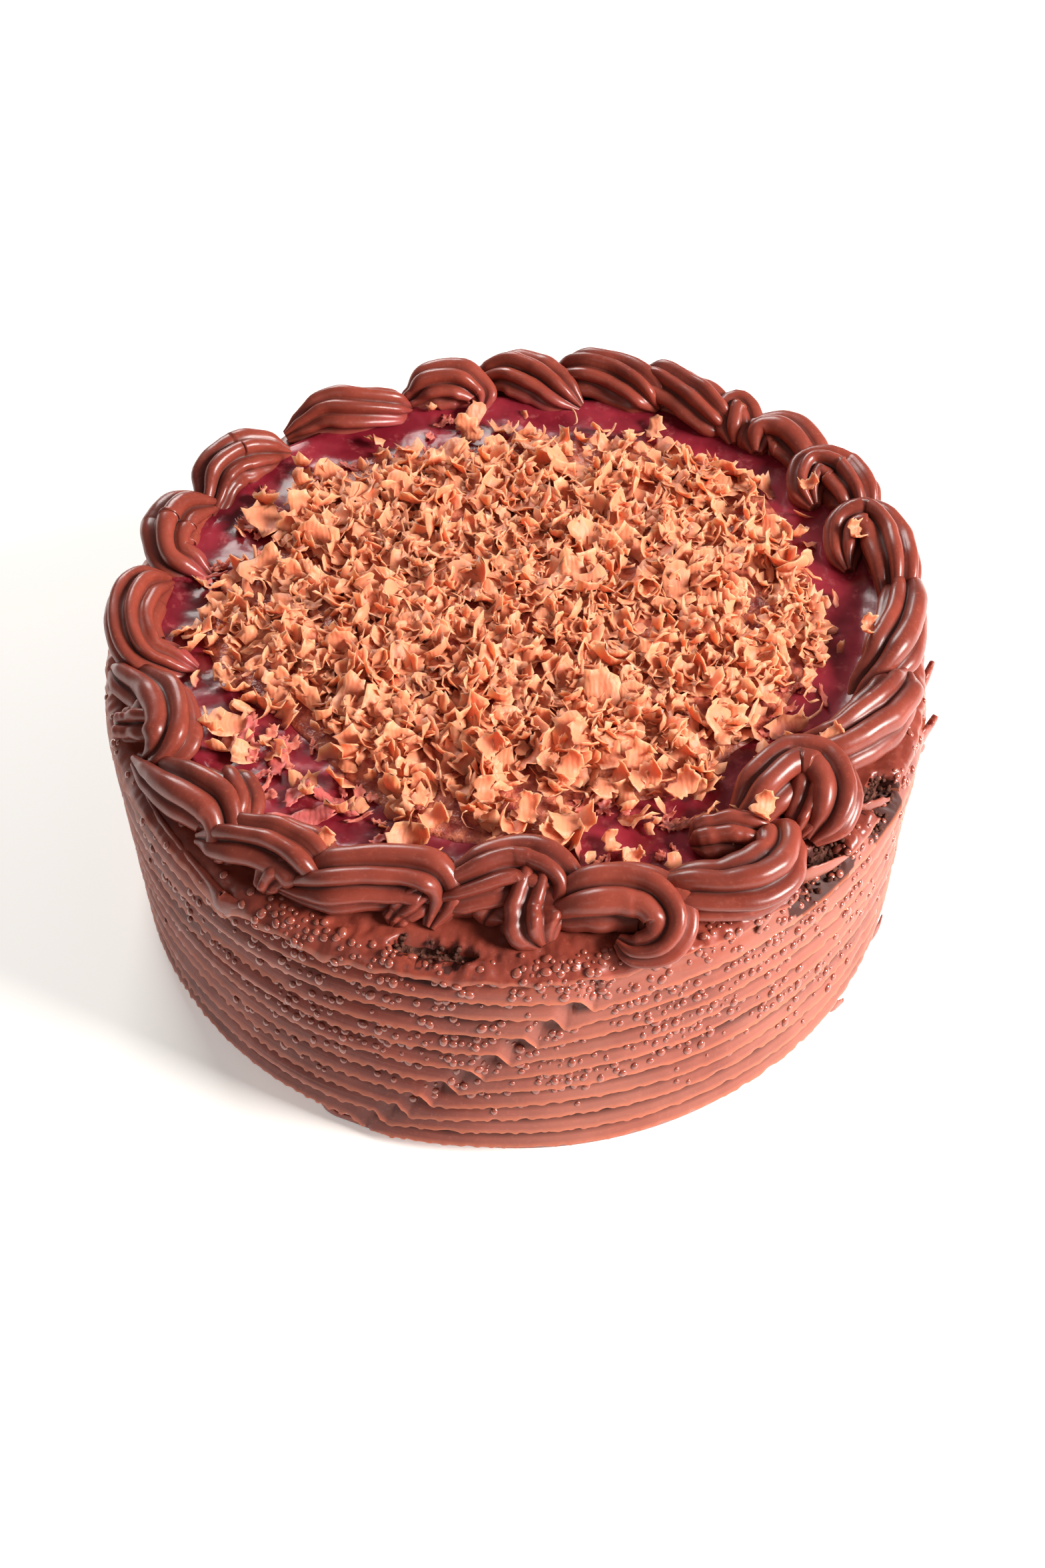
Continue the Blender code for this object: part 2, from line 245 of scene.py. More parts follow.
# Colours are linear. Plain numbers are scales of noise in the cake's own coordinates, higher for finer.
frostingLook = {
    "shader": {"Roughness": 0.36, "Specular IOR Level": 0.22, "Subsurface Weight": 0.10,
               "Subsurface Scale": 0.003, "Subsurface Radius": (1.0, 0.4, 0.25), "Coat Roughness": 0.2},
    "base": (0.245, 0.045, 0.0275, 1), "shade": (0.148, 0.025, 0.016, 1), "light": (0.38, 0.093, 0.058, 1),
    # the groove colour is painted shade, the thin colour a painted glow on edges, and the pale pink one a
    # painted sheen
    "thin": (0.62, 0.155, 0.070, 1), "groove": (0.036, 0.006, 0.004, 1), "paintedSheen": (0.52, 0.205, 0.145, 1),
    "sheenShare": 0.34, "sheenSide": (0.47, -0.88), "sheenReach": (0.078, 0.098), "sheenCloud": 34,
    "cloud": 48, "specks": 900, "lumps": 170, "pits": 1300, "gloss": 240, "coat": 0.25,
    "combLines": (16.0, 900.0),  # along the wall and up it
}


# grooves: the depths where the painted shade in the grooves starts to darken and is darkest, and the darkest
# share
def frostingMaterial(name, look, combed=False, stain=None, grooves=(0.35, 0.68, 0.95)):
    made, nodes, shader, place = newMaterial(name, look["shader"])
    x, y, z = nodes.add("ShaderNodeSeparateXYZ", {0: place}).outputs
    cloud = nodes.noise(place, look["cloud"], 4, 0.6)
    colour = nodes.mix(nodes.range(cloud, 0.32, 0.66), look["shade"], look["base"])
    fine = nodes.noise(place, look["specks"], 3, 0.6)
    colour = nodes.mix(nodes.range(fine, 0.55, 0.8, 0, 0.4), colour, look["light"])
    bumps = [(nodes.noise(place, look["lumps"], 3, 0.5), 0.22, 0.0006),
             (nodes.noise(place, look["pits"], 2, 0.6), 0.14, 0.0002)]
    if combed:  # painted sheen: the wall at the front right turns a paler pink, in patches
        towardsX, towardsY = look["sheenSide"]
        side = nodes.math("ADD", nodes.times(x, towardsX), nodes.times(y, towardsY))
        patch = nodes.range(nodes.noise(place, look["sheenCloud"], 3, 0.55), 0.30, 0.62, 0.35, 1)
        paintedSheen = nodes.times(nodes.times(nodes.range(side, *look["sheenReach"]), patch), look["sheenShare"])
        colour = nodes.mix(paintedSheen, colour, look["paintedSheen"])
    # Set on the mesh: how deep a point lies between fins or lobes, or how torn it is, which darkens it as
    # painted shade, and how near an edge, which lightens it as a painted glow
    groove = nodes.range(nodes.attribute("grooveDepth"), grooves[0], grooves[1], 0, grooves[2])
    colour = nodes.mix(groove, colour, look["groove"])
    # painted glow: the edges of fins and of the lip turn a pale orange, as if light shone through thin
    # frosting
    colour = nodes.mix(nodes.times(nodes.attribute("tipGlow"), 0.6), colour, look["thin"])
    if combed:  # the comb drew fine lines along the wall
        along, up = look["combLines"]
        lines = nodes.add("ShaderNodeCombineXYZ", {
            0: nodes.times(x, along), 1: nodes.times(y, along), 2: nodes.times(z, up)})
        bumps.append((nodes.noise(lines.outputs[0], 1.0, 3, 0.6), 0.35, 0.00035))
    if stain:  # jelly that ran up the inner lobes at the back left
        reach = nodes.math("SQRT", nodes.math("ADD", nodes.times(x, x), nodes.times(y, y)))
        wobble = nodes.range(nodes.noise(place, 120, 2), 0.3, 0.7, -0.004, 0.004)
        inner = nodes.range(nodes.math("ADD", reach, wobble), stain["reach"], stain["reach"] - stain["fade"])
        low = nodes.range(z, stain["top"], stain["top"] - stain["fade"])
        side = nodes.range(nodes.math("SUBTRACT", y, nodes.times(x, 0.9)), 0.02, 0.06)
        wet = nodes.times(nodes.times(inner, low), side)
        colour = nodes.mix(nodes.times(wet, 0.8), colour, stain["colour"])
    rough = look["shader"]["Roughness"]
    gloss = nodes.range(nodes.noise(place, look["gloss"], 3), 0.35, 0.7, rough - 0.08, rough + 0.1)
    gloss = nodes.math("ADD", gloss, nodes.times(groove, 0.3))  # no shine down in the grooves
    wetness = nodes.times(nodes.math("SUBTRACT", 1.0, groove), look["coat"])
    nodes.tree.links.new(wetness, shader.inputs["Coat Weight"])
    finishMaterial(nodes, shader, colour, bumps, gloss)
    return made


dewLook = {
    "shader": {"Roughness": 0.08, "Specular IOR Level": 0.5, "Coat Weight": 0.7, "Coat Roughness": 0.03,
               "Subsurface Weight": 0.15, "Subsurface Scale": 0.002},
    "dark": (0.22, 0.047, 0.030, 1), "pale": (0.34, 0.088, 0.056, 1), "cloud": 300, "ripples": 500,
}


def dewMaterial(look):
    made, nodes, shader, place = newMaterial("sugarDew", look["shader"])
    colour = nodes.mix(nodes.noise(place, look["cloud"], 1), look["dark"], look["pale"])
    finishMaterial(nodes, shader, colour, [(nodes.noise(place, look["ripples"], 2), 0.1, 0.0002)])
    return made


jellyLook = {
    "shader": {"Roughness": 0.24, "Specular IOR Level": 0.25, "Coat Weight": 0.18, "Coat Roughness": 0.08,
               "Subsurface Weight": 0.15, "Subsurface Scale": 0.004, "Subsurface Radius": (1.0, 0.15, 0.18)},
    "deep": (0.150, 0.008, 0.016, 1), "base": (0.270, 0.022, 0.036, 1), "reflectedHaze": (0.50, 0.130, 0.130, 1),
    "cloud": 46, "hazePatches": 230, "waves": 95, "grains": 420,
}


def jellyMaterial(look):
    made, nodes, shader, place = newMaterial("redJelly", look["shader"])
    cloud = nodes.range(nodes.noise(place, look["cloud"], 4, 0.62), 0.38, 0.60)
    colour = nodes.mix(cloud, look["deep"], look["base"])
    # painted sheen: a pinkish haze of reflected light, mixed in by random patches
    hazePatches = nodes.range(nodes.noise(place, look["hazePatches"], 3, 0.65), 0.57, 0.78, 0, 0.6)
    colour = nodes.mix(hazePatches, colour, look["reflectedHaze"])
    finishMaterial(nodes, shader, colour, [(nodes.noise(place, look["waves"], 3, 0.55), 0.35, 0.0008),
                                           (nodes.noise(place, look["grains"], 2, 0.5), 0.15, 0.0003)])
    return made


chocolateLook = {
    "shader": {"Roughness": 0.5, "Specular IOR Level": 0.3, "Subsurface Weight": 0.45,
               "Subsurface Scale": 0.003, "Subsurface Radius": (1.0, 0.5, 0.35)},
    "dark": (0.64, 0.195, 0.105, 1), "face": (0.75, 0.24, 0.125, 1), "pale": (0.76, 0.250, 0.132, 1),
    "edge": (0.78, 0.268, 0.142, 1), "stained": (0.50, 0.100, 0.090, 1),
    "mottle": 520, "streaks": 260.0,
    "soaked": (1.6 * mm, 0.2 * mm),  # over the jelly: dry above the first, soaked below the second
}


def chocolateMaterial(name, look):
    made, nodes, shader, place = newMaterial(name, look["shader"])
    tone, rim, stained = (nodes.attribute(label) for label in ("flakeTone", "flakeRim", "flakeStain"))
    colour = nodes.mix(nodes.range(tone, 0, 0.55), look["dark"], look["face"])
    colour = nodes.mix(nodes.range(tone, 0.55, 1), colour, look["pale"])
    mottle = nodes.noise(place, look["mottle"], 3, 0.6)
    colour = nodes.mix(nodes.range(mottle, 0.42, 0.75, 0, 0.4), colour, look["pale"])
    colour = nodes.mix(nodes.times(rim, 0.7), colour, look["edge"])
    height = nodes.add("ShaderNodeSeparateXYZ", {0: place}).outputs[2]
    dry, wet = look["soaked"]
    soaked = nodes.range(height, jellyTop + dry, jellyTop + wet, 0, 0.75)
    colour = nodes.mix(nodes.math("MAXIMUM", soaked, stained), colour, look["stained"])
    streak = nodes.add("ShaderNodeTexWave", {"Vector": place, "Scale": look["streaks"], "Distortion": 7.0,
                                             "Detail": 2.0})
    finishMaterial(nodes, shader, colour, [(streak.outputs["Fac"], 0.25, 0.0002), (mottle, 0.3, 0.0003)])
    return made


# The heap's core under the flakes: dark soaked chocolate, partly painted shade for the shadowed depths of the
# heap
heapCoreLook = {
    "shader": {"Roughness": 0.35, "Specular IOR Level": 0.4},
    "dark": (0.26, 0.045, 0.035, 1), "pale": (0.58, 0.18, 0.10, 1), "flakes": 260, "lumps": 330,
}


def heapCoreMaterial(look):
    made, nodes, shader, place = newMaterial("soakedShadedChocolate", look["shader"])
    flakes = nodes.range(nodes.noise(place, look["flakes"], 3, 0.6), 0.4, 0.62)
    colour = nodes.mix(flakes, look["dark"], look["pale"])
    finishMaterial(nodes, shader, colour, [(nodes.noise(place, look["lumps"], 3, 0.6), 0.8, 0.0015)])
    return made


crumbLook = {
    "shader": {"Roughness": 0.75, "Specular IOR Level": 0.15},
    "dark": (0.03, 0.010, 0.007, 1), "base": (0.095, 0.032, 0.022, 1), "glint": (0.22, 0.085, 0.06, 1),
    "pores": 620.0, "crumb": 480,
}


def crumbMaterial(look):
    made, nodes, shader, place = newMaterial("darkCrumb", look["shader"])
    pores = nodes.add("ShaderNodeTexVoronoi", {"Vector": place, "Scale": look["pores"]}).outputs["Distance"]
    crumb = nodes.noise(place, look["crumb"], 4, 0.7)
    # painted shade: darker down in the pores
    colour = nodes.mix(nodes.range(pores, 0.05, 0.55), look["dark"], look["base"])
    colour = nodes.mix(nodes.range(crumb, 0.55, 0.8, 0, 0.8), colour, look["glint"])
    finishMaterial(nodes, shader, colour, [(pores, 0.8, 0.001), (crumb, 0.6, 0.0012)])
    return made


# Fitted to the photo's own angle and distance
cameraPlan = {"place": (0, -0.33676, 0.43478), "aim": (0.0012, 0.0179, 0.0), "lens": 44.43, "sensor": 36,
              "clip": (0.01, 20)}
lightPlan = (  # name, place, aim, size, watts, colour
    ("keyWindow", (1.08, -0.40, 0.74), (0, 0, 0.05), 0.50, 44.5, (1.0, 0.965, 0.92)),
    ("backWindow", (-0.35, 1.05, 0.72), (0, 0, 0.06), 0.60, 14, (1.0, 0.985, 0.96)),
    ("frontFill", (-0.6, -1.0, 0.9), (0, 0, 0.04), 0.50, 1, (1.0, 0.96, 0.93)),
)
worldLook = {"Color": (1.0, 0.985, 0.96, 1), "Strength": 0.2}
floorPlan = {
    "half": 6,  # metres from its middle to a side
    "shader": {"Roughness": 0.7, "Specular IOR Level": 0.2, "Emission Color": (1.0, 0.965, 0.925, 1),
               "Emission Strength": 0.31},
    "dark": (0.90, 0.885, 0.86, 1), "pale": (0.93, 0.92, 0.90, 1), "cloud": 3, "grain": 400,
}


def turnTo(thing, place, aim):
    thing.location = place
    thing.rotation_euler = (Vector(aim) - Vector(place)).to_track_quat("-Z", "Y").to_euler()


def placeCamera(plan):
    data = bpy.data.cameras.new("photoCamera")
    data.lens, data.sensor_width, data.sensor_fit = plan["lens"], plan["sensor"], "AUTO"
    data.clip_start, data.clip_end = plan["clip"]
    camera = addObject("photoCamera", data)
    turnTo(camera, plan["place"], plan["aim"])
    scene.camera = camera


def placeLights(plan, sky):
    for name, place, aim, size, watts, colour in plan:
        data = bpy.data.lights.new(name, "AREA")
        data.size, data.energy, data.color = size, watts, colour
        turnTo(addObject(name, data), place, aim)
    world = bpy.data.worlds.new("paleStudio")
    world.use_nodes = True
    for key, value in sky.items():
        world.node_tree.nodes["Background"].inputs[key].default_value = value
    scene.world = world
    scene.view_settings.view_transform = "Standard"


def placeFloor(plan):
    half = plan["half"]
    corners = [(-half, -half, 0), (half, -half, 0), (half, half, 0), (-half, half, 0)]
    mesh = bpy.data.meshes.new("paleFloor")
    mesh.from_pydata(corners, [], [(0, 1, 2, 3)])
    floor = addObject("paleFloor", mesh)
    made, nodes, shader, place = newMaterial("palePaper", plan["shader"])
    colour = nodes.mix(nodes.noise(place, plan["cloud"], 2), plan["dark"], plan["pale"])
    finishMaterial(nodes, shader, colour, [(nodes.noise(place, plan["grain"], 2), 0.02, 0.0001)])
    mesh.materials.append(made)


# The wall is a stack of bays from one fin's edge to the next one's, all swept through the same steps
combPlan = {
    "columns": 1080, "fins": 10, "splitFin": 5, "firstFin": 8.6 * mm, "pitch": 7.15 * mm,
    "steps": (0.0, 0.035, 0.10, 0.22, 0.40, 0.58, 0.74, 0.86, 0.935, 0.978),
    "depth": 3.95 * mm, "valleyAt": 0.74, "upperScoop": 1.25, "underScoop": 3.2, "droop": 1.5 * mm,
    "uneven": 0.22, "wander": 0.9 * mm, "grain": 0.22 * mm, "mostReach": 3.98 * mm,
    "edge": 0.09, "beads": 190, "beadReach": 0.55 * mm, "beadDrop": 1.25 * mm,
    "tearReach": 0.5 * mm, "tearRise": 0.4 * mm,
    "seamFoot": 243.0, "seamClimb": 31.0, "seamRise": 64 * mm, "seamDrop": 4.5 * mm, "seamFade": 9.0,
    "seamHook": 0.9, "seamSlant": 1.7, "seamStep": 1.0 * mm, "seamCut": 0.1 * mm, "seamSector": (230, 290),
    "joins": (56 * mm, 17 * mm), "joinDrop": 2.4 * mm, "joinTall": 7 * mm,  # lines that meet at the left
    "lastBay": 0.84, "topBay": 75.5 * mm, "innerRadius": 94 * mm,
    "footRows": ((-1.2, 0.0), (-0.2, 0.25), (0.4, 1.2), (0.5, 3.4)),  # out from the valleys and up, in mm
    "reachTable": (0.8, 0.9, 0.95, 0.95, 0.95, 1, 1, 1, 1, 0.8, 0.72, 0.72),  # fin depth, every 30 degrees
    "beadTable": (0.3, 0.4, 0.5, 0.5, 0.7, 0.9, 1, 1, 0.85, 0.35, 0.2, 0.25),
}
barePlan = {
    "spots": (  # places where the frosting is torn off the sponge, in degrees and mm
        {"bearing": 258.5, "radius": 97.3, "height": 79.4, "wide": 11.5, "out": 2.4, "tall": 2.5},
        {"bearing": 314.0, "radius": 98.8, "height": 77.6, "wide": 11.0, "out": 4.2, "tall": 4.8},
        {"bearing": 329.0, "radius": 99.0, "height": 77.0, "wide": 8.5, "out": 3.9, "tall": 5.2},
    ),
    "above": 70 * mm, "outside": 90 * mm, "sink": 1.3 * mm,
    # what it reaches is also darkened with painted shade
    "dullRound": ((0, 0), (1.6, 1.6), (2.4, 3.0)),  # it dulls what lies this far out and down from it, in mm
}


def bareShare(bearing, radius, height):  # 1 where the sponge lies bare
    most = 0
    for spot in barePlan["spots"]:
        along = math.radians(turnBetween(bearing, spot["bearing"])) * spot["radius"]
        if abs(along) < 2 * spot["wide"]:
            out = (radius / mm - spot["radius"]) / spot["out"]
            up = (height / mm - spot["height"]) / spot["tall"]
            away = math.sqrt((along / spot["wide"]) ** 2 + 0.6 * out ** 2 + 0.6 * up ** 2)
            ragged = 0.24 * noise.noise(onBearing(bearing, radius, height) / (3.5 * mm))
            most = max(most, 1 - smoothStep(0.85, 1.0, away + ragged))
    return most


def mayBeBare(radius, height):
    return height > barePlan["above"] and radius > barePlan["outside"]


def sinkBare(bearing, radius, height):
    bare = bareShare(bearing, radius, height) if mayBeBare(radius, height) else 0
    if bare > 0:
        radius -= bare * max(0, radius - (spongeRadius - barePlan["sink"]))
        height -= bare * max(0, height - (spongeTop - barePlan["sink"]))
    return radius, height


def seamBearing(plan, height):  # the comb stopped at a slanting seam
    return plan["seamFoot"] + plan["seamClimb"] * height / plan["seamRise"]


def combWander(plan, bearing, height, reach):
    # the fins' edges reach past the seam as pointed hooks
    past = bearing - (seamBearing(plan, height) + plan["seamHook"] * reach)
    drop = plan["seamDrop"] * (math.exp(-past / plan["seamFade"]) if past >= 0
                               else max(0, 1 + past / plan["seamSlant"]))
    for level in plan["joins"]:
        bend = smoothStep(223, 214, bearing) * smoothStep(196, 210, bearing)
        drop += plan["joinDrop"] * bend * math.exp(-((height - level) / plan["joinTall"]) ** 2)
    sway = noise.noise(onBearing(bearing, 1.3, height / (40 * mm)))
    return plan["wander"] * sway - drop, past


def finReach(plan, step):
    if step <= plan["valleyAt"]:
        return (1 - step / plan["valleyAt"]) ** plan["upperScoop"]
    return ((step - plan["valleyAt"]) / (1 - plan["valleyAt"])) ** plan["underScoop"]


def wallPoint(plan, bearing, fin, step):
    lastBay = fin == plan["fins"] - 1
    height = plan["firstFin"] + (fin + step * (plan["lastBay"] if lastBay else 1)) * plan["pitch"]
    reach = finReach(plan, step)
    shift, past = combWander(plan, bearing, height, reach)
    near = max(0, 1 - min(step, 1 - step) / plan["edge"])  # 1 on the edge of a fin
    if lastBay:  # the wide bay under the lip
        shift *= 1 - smoothStep(0.3, 0.9, step)
        if step > 0.5:
            reach, near = 0.1 * (step - 0.5), 0
    number = fin + (step > 0.5)
    uneven = noise.noise(onBearing(bearing, 3.3, 2.7 * number))
    depth = plan["depth"] * roundTable(plan["reachTable"], bearing) * (1 + plan["uneven"] * uneven)
    radius = wallRadius + depth * reach
    height += shift - plan["droop"] * reach ** 3
    if past >= 0:
        radius += plan["seamStep"] * math.exp(-past / 4) * (1 - 0.75 * reach)
    elif past > -4:
        radius -= plan["seamCut"] * (1 + past / 4) * (1 - reach)
    if near > 0:
        sway = noise.noise(onBearing(bearing, 7, 5.1 * number))
        phase = plan["beads"] * math.radians(bearing) + 4 * sway
        patch = 0.55 + 0.9 * noise.noise(onBearing(bearing, 14, 3.1 * number))
        bead = max(0, math.sin(phase)) ** 0.7 * max(patch, 0.05) * roundTable(plan["beadTable"], bearing)
        tear = noise.noise(onBearing(bearing, 30, 8.3 * number))
        radius += near * (plan["beadReach"] * bead - plan["tearReach"] * max(0, tear))
        height -= near * (plan["beadDrop"] * bead - plan["tearRise"] * tear)
    radius += plan["grain"] * noise.noise(onBearing(bearing, 3.0, height / (1.3 * mm))) * (1 - near)
    height = max(height, 1.3 * mm)
    if height < 3.5 * mm:
        radius = min(radius, wallRadius + 2.2 * mm)
    return onBearing(bearing, *sinkBare(bearing, min(radius, wallRadius + plan["mostReach"]), height))


def markRows(mesh, label, values, columns):  # one value for each ring of a mesh that has no poles
    markPoints(mesh, label, np.repeat(values, columns).astype("f"))


def correctGrooves(mesh, plan):  # torn places are dull and darkened with painted shade, and the painted shade in the grooves fades where they meet the seam
    first, last = plan["seamSector"]
    for vertex, depth in zip(mesh.vertices, mesh.attributes["grooveDepth"].data):
        bearing, radius, height = bearingOf(vertex.co), math.hypot(vertex.co.x, vertex.co.y), vertex.co.z
        if mayBeBare(radius, height):
            bare = max(bareShare(bearing, radius - out * mm, height + up * mm)
                       for out, up in barePlan["dullRound"])
            if bare > 0.02:
                depth.value = 0.66 + 0.2 * bare
        elif first < bearing < last:
            depth.value *= 1 - 0.7 * math.exp(-((bearing - seamBearing(plan, height)) / 3.5) ** 2)


def buildWall(plan, material):
    bearings = evenBearings(plan["columns"])

    def ring(radius, height):
        return [onBearing(b, radius, height) for b in bearings]
    foot = [ring(plan["innerRadius"], 1.2 * mm)]
    foot += [ring(wallRadius + out * mm, height * mm) for out, height in plan["footRows"]]
    places = [(fin, step) for fin in range(plan["fins"]) for step in plan["steps"]]
    bays = [[wallPoint(plan, b, fin, step) for b in bearings] for fin, step in places]
    split = plan["splitFin"] * len(plan["steps"]) - 3  # in the dark corner under a fin
    middle = ring(plan["innerRadius"], plan["firstFin"] + plan["splitFin"] * plan["pitch"])
    top = ring(plan["innerRadius"], plan["topBay"])
    walls = []
    for name, rings, before, rows in (
            ("combedWallLower", foot + bays[:split + 1] + [middle], len(foot), places[:split + 1]),
            ("combedWallUpper", bays[split:] + [top, middle], 0, places[split:])):
        wall = joinPieces(name, [ringMesh(name, rings, sharp=75)], material, False)
        bay = [(fin == plan["fins"] - 1 and step > 0.3, step) for fin, step in rows]
        after = len(rings) - before - len(rows)
        # painted shade: darker down in the valleys, and more so the deeper a row lies under the lip
        depths = [step - 0.15 if underLip else 1 - finReach(plan, step) for underLip, step in bay]
        # painted glow along each fin's edge
        tips = [0 if underLip else max(0, 1 - min(step, 1 - step) / 0.075) for underLip, step in bay]
        dewy = [1.0 if 0.05 < step < 0.5 or underLip else 0.0 for underLip, step in bay]
        for label, values, inside in (("grooveDepth", depths, 1), ("tipGlow", tips, 0), ("dewShare", dewy, 0)):
            markRows(wall.data, label, [0] * before + values + [inside] * after, plan["columns"])
        correctGrooves(wall.data, plan)
        walls.append(wall)
    return walls


# The top sheet with its ragged lip
creamPlan = {
    "columns": 1080,
    "rows": (  # radius and height in mm, share of the lip's drip, share of the shoulder's lumps
        (70, 79.2, 0, 0), (90, 78.9, 0, 0), (97.6, 77.6, 0, 0), (100.4, 78.1, 0.9, 0), (101.4, 78.5, 1, 0.2),
        (101.8, 79.0, 0.9, 0.5), (101.6, 79.5, 0.6, 0.8), (101.1, 79.9, 0.3, 1), (100.5, 80.15, 0.12, 1),
        (99.8, 80.35, 0, 1), (99.0, 80.5, 0, 1), (98.1, 80.6, 0, 1), (97.2, 80.65, 0, 1), (96.2, 80.7, 0, 1),
        (95.2, 80.72, 0, 1), (94.1, 80.75, 0, 0.9), (92.8, 80.8, 0, 0.7), (91.2, 80.8, 0, 0.5),
        (89, 80.8, 0, 0.3), (86, 80.8, 0, 0.2), (80, 80.8, 0, 0), (70, 80.8, 0, 0)),
    # every 30 degrees: the shoulder's lumps, and how far the lip hangs over in mm
    "lumpTable": (0.9, 0.7, 0.7, 0.7, 0.7, 0.7, 0.8, 1.2, 1.7, 2.2, 2.2, 1.6),
    "lipTable": (0.4, 0.3, 0.4, 0.5, 0.6, 1.0, 1.9, 2.5, 2.2, 0.9, 0.3, 0.3),
    "drips": (  # bearing, length in mm, half width in degrees
        (229, 6.5, 2.5), (226, 1.6, 2.0), (236, 1.0, 1.5), (247, 0.9, 3), (262, 1.4, 2.5), (268, 1.2, 1.4),
        (281, 1.0, 2.2), (205, 1.2, 2.4), (186, 0.9, 2), (160, 1.2, 2.6), (132, 1.0, 2), (98, 1.3, 2.4),
        (61, 1.0, 2.2), (24, 1.3, 2.6)),
    "mostReach": 104.3,
}


def creamPoint(plan, bearing, radius, height, drip, lumpy):
    spot = onBearing(bearing, radius * mm, height * mm)
    out = 0.0
    if drip > 0:
        fall = (0.8 + 1.2 * noise.noise(onBearing(bearing, 24, 2.0))
                + 1.4 * noise.noise(onBearing(bearing, 8, 4.0))
                + 0.5 * noise.noise(onBearing(bearing, 70, 5.0)))
        for place, length, half in plan["drips"]:
            fall += length * math.exp(-(turnBetween(bearing, place) / half) ** 2)
        lip = roundTable(plan["lipTable"], bearing)
        height -= drip * max(fall + 0.7 * lip, -0.2)
        out = drip * (lip + 0.45 * (noise.noise(onBearing(bearing, 32, 9.0)) + 0.12 * fall))
    if lumpy > 0:
        amount = lumpy * roundTable(plan["lumpTable"], bearing)
        smear = noise.noise(onBearing(bearing, 10, radius / 1.6))
        lump = noise.noise(spot / (3.2 * mm)) + 0.5 * noise.noise(spot / (1.5 * mm))
        height += amount * (0.42 * lump + 0.30 * smear) * min(1, (102.2 - radius) / 2)
        out += 0.25 * amount * lump
    reach = min(radius + out, plan["mostReach"]) if radius > 99 else radius + out
    return onBearing(bearing, *sinkBare(bearing, reach * mm, height * mm))


def buildCream(plan, material):
    rings = [[creamPoint(plan, b, *row) for b in evenBearings(plan["columns"])] for row in plan["rows"]]
    cream = joinPieces("creamTop", [ringMesh("creamTop", rings, sharp=75)], material, False)
    # painted glow on the lip's lowest hanging edge
    tips = [0.8 * drip * (height < 79.2) for radius, height, drip, lumpy in plan["rows"]]
    dewy = [lumpy for radius, height, drip, lumpy in plan["rows"]]
    for label, values in (("tipGlow", tips), ("dewShare", dewy), ("grooveDepth", [0.0] * len(rings))):
        markRows(cream.data, label, values, plan["columns"])
    correctGrooves(cream.data, combPlan)
    return cream


# Loose tongues of frosting: bearing, then radius, height, half width and half thickness in mm along each
tongueKnots = (
    ((240.0, 101.3, 8.0, 1.8, 0.6), (241.0, 102.0, 6.4, 2.1, 0.5), (241.8, 102.6, 4.2, 2.0, 0.45),
     (243.0, 102.7, 2.6, 1.4, 0.45), (245.5, 102.3, 2.4, 1.5, 0.4), (249.0, 102.0, 2.2, 1.3, 0.4),
     (253.0, 101.6, 1.9, 0.6, 0.35)),
    ((208, 100.6, 79.2, 0.9, 0.8), (215, 101.2, 78.6, 1.5, 0.9), (222, 101.5, 78.0, 1.6, 0.9),
     (226.6, 102.0, 76.8, 1.9, 1.2), (228.9, 102.9, 74.4, 4.3, 2.0), (231.2, 102.2, 76.4, 1.9, 1.2),
     (236, 101.6, 77.0, 1.4, 0.9), (243, 101.4, 75.8, 1.7, 0.9), (250, 101.2, 75.0, 1.2, 0.8),
     (256, 101.0, 74.8, 0.7, 0.6)),
    ((344.0, 100.2, 67, 5.0, 1.4), (346.5, 102.6, 67.4, 5.0, 1.2), (348.4, 104.2, 68.4, 4.2, 1.1),
     (349.6, 105.4, 69.8, 3.0, 1.0), (350.2, 106.0, 70.8, 1.6, 0.8)),
    ((345.0, 100.2, 62.5, 2.6, 1.4), (347.0, 102.2, 62.0, 2.3, 1.2), (348.6, 103.7, 61.0, 1.7, 1.0),
     (349.4, 104.5, 60.0, 0.9, 0.7)),
    ((353, 100.2, 71, 4.0, 1.4), (355, 102.4, 72, 3.6, 1.2), (357, 104.0, 73.2, 2.6, 1.0),
     (358.2, 105.0, 74.6, 1.3, 0.7)),
    ((309, 96.8, 79.0, 1.6, 0.6), (312, 98.8, 78.9, 2.2, 0.6), (315.5, 100.4, 78.2, 1.9, 0.5),
     (319, 101.2, 76.8, 0.7, 0.35)),
    ((323, 95.8, 80.0, 1.5, 0.6), (326, 97.6, 79.4, 1.9, 0.6), (328.5, 99.6, 78.4, 1.4, 0.5),
     (330.5, 101.0, 76.8, 0.6, 0.35)),
    ((306, 100.2, 79.4, 1.5, 0.8), (304, 101.2, 78.0, 1.6, 0.6), (302.6, 101.9, 76.2, 1.1, 0.5),
     (302.0, 101.9, 74.6, 0.5, 0.3)),
    ((336, 100.5, 5.0, 2.2, 0.7), (338, 102.6, 3.8, 2.0, 0.6), (340.5, 103.6, 2.4, 1.5, 0.5),
     (343, 103.9, 1.6, 0.7, 0.3)),
    ((322, 100.6, 4.2, 1.8, 0.7), (324, 102.6, 3.0, 1.7, 0.5), (326, 103.4, 1.8, 0.9, 0.35)),
    ((350, 100.6, 4.6, 2.0, 0.7), (352.5, 102.8, 3.2, 1.8, 0.5), (355, 103.6, 2.0, 0.8, 0.35)),
)
tonguePlan = {"steps": 22, "corners": 12, "ragged": 0.35}


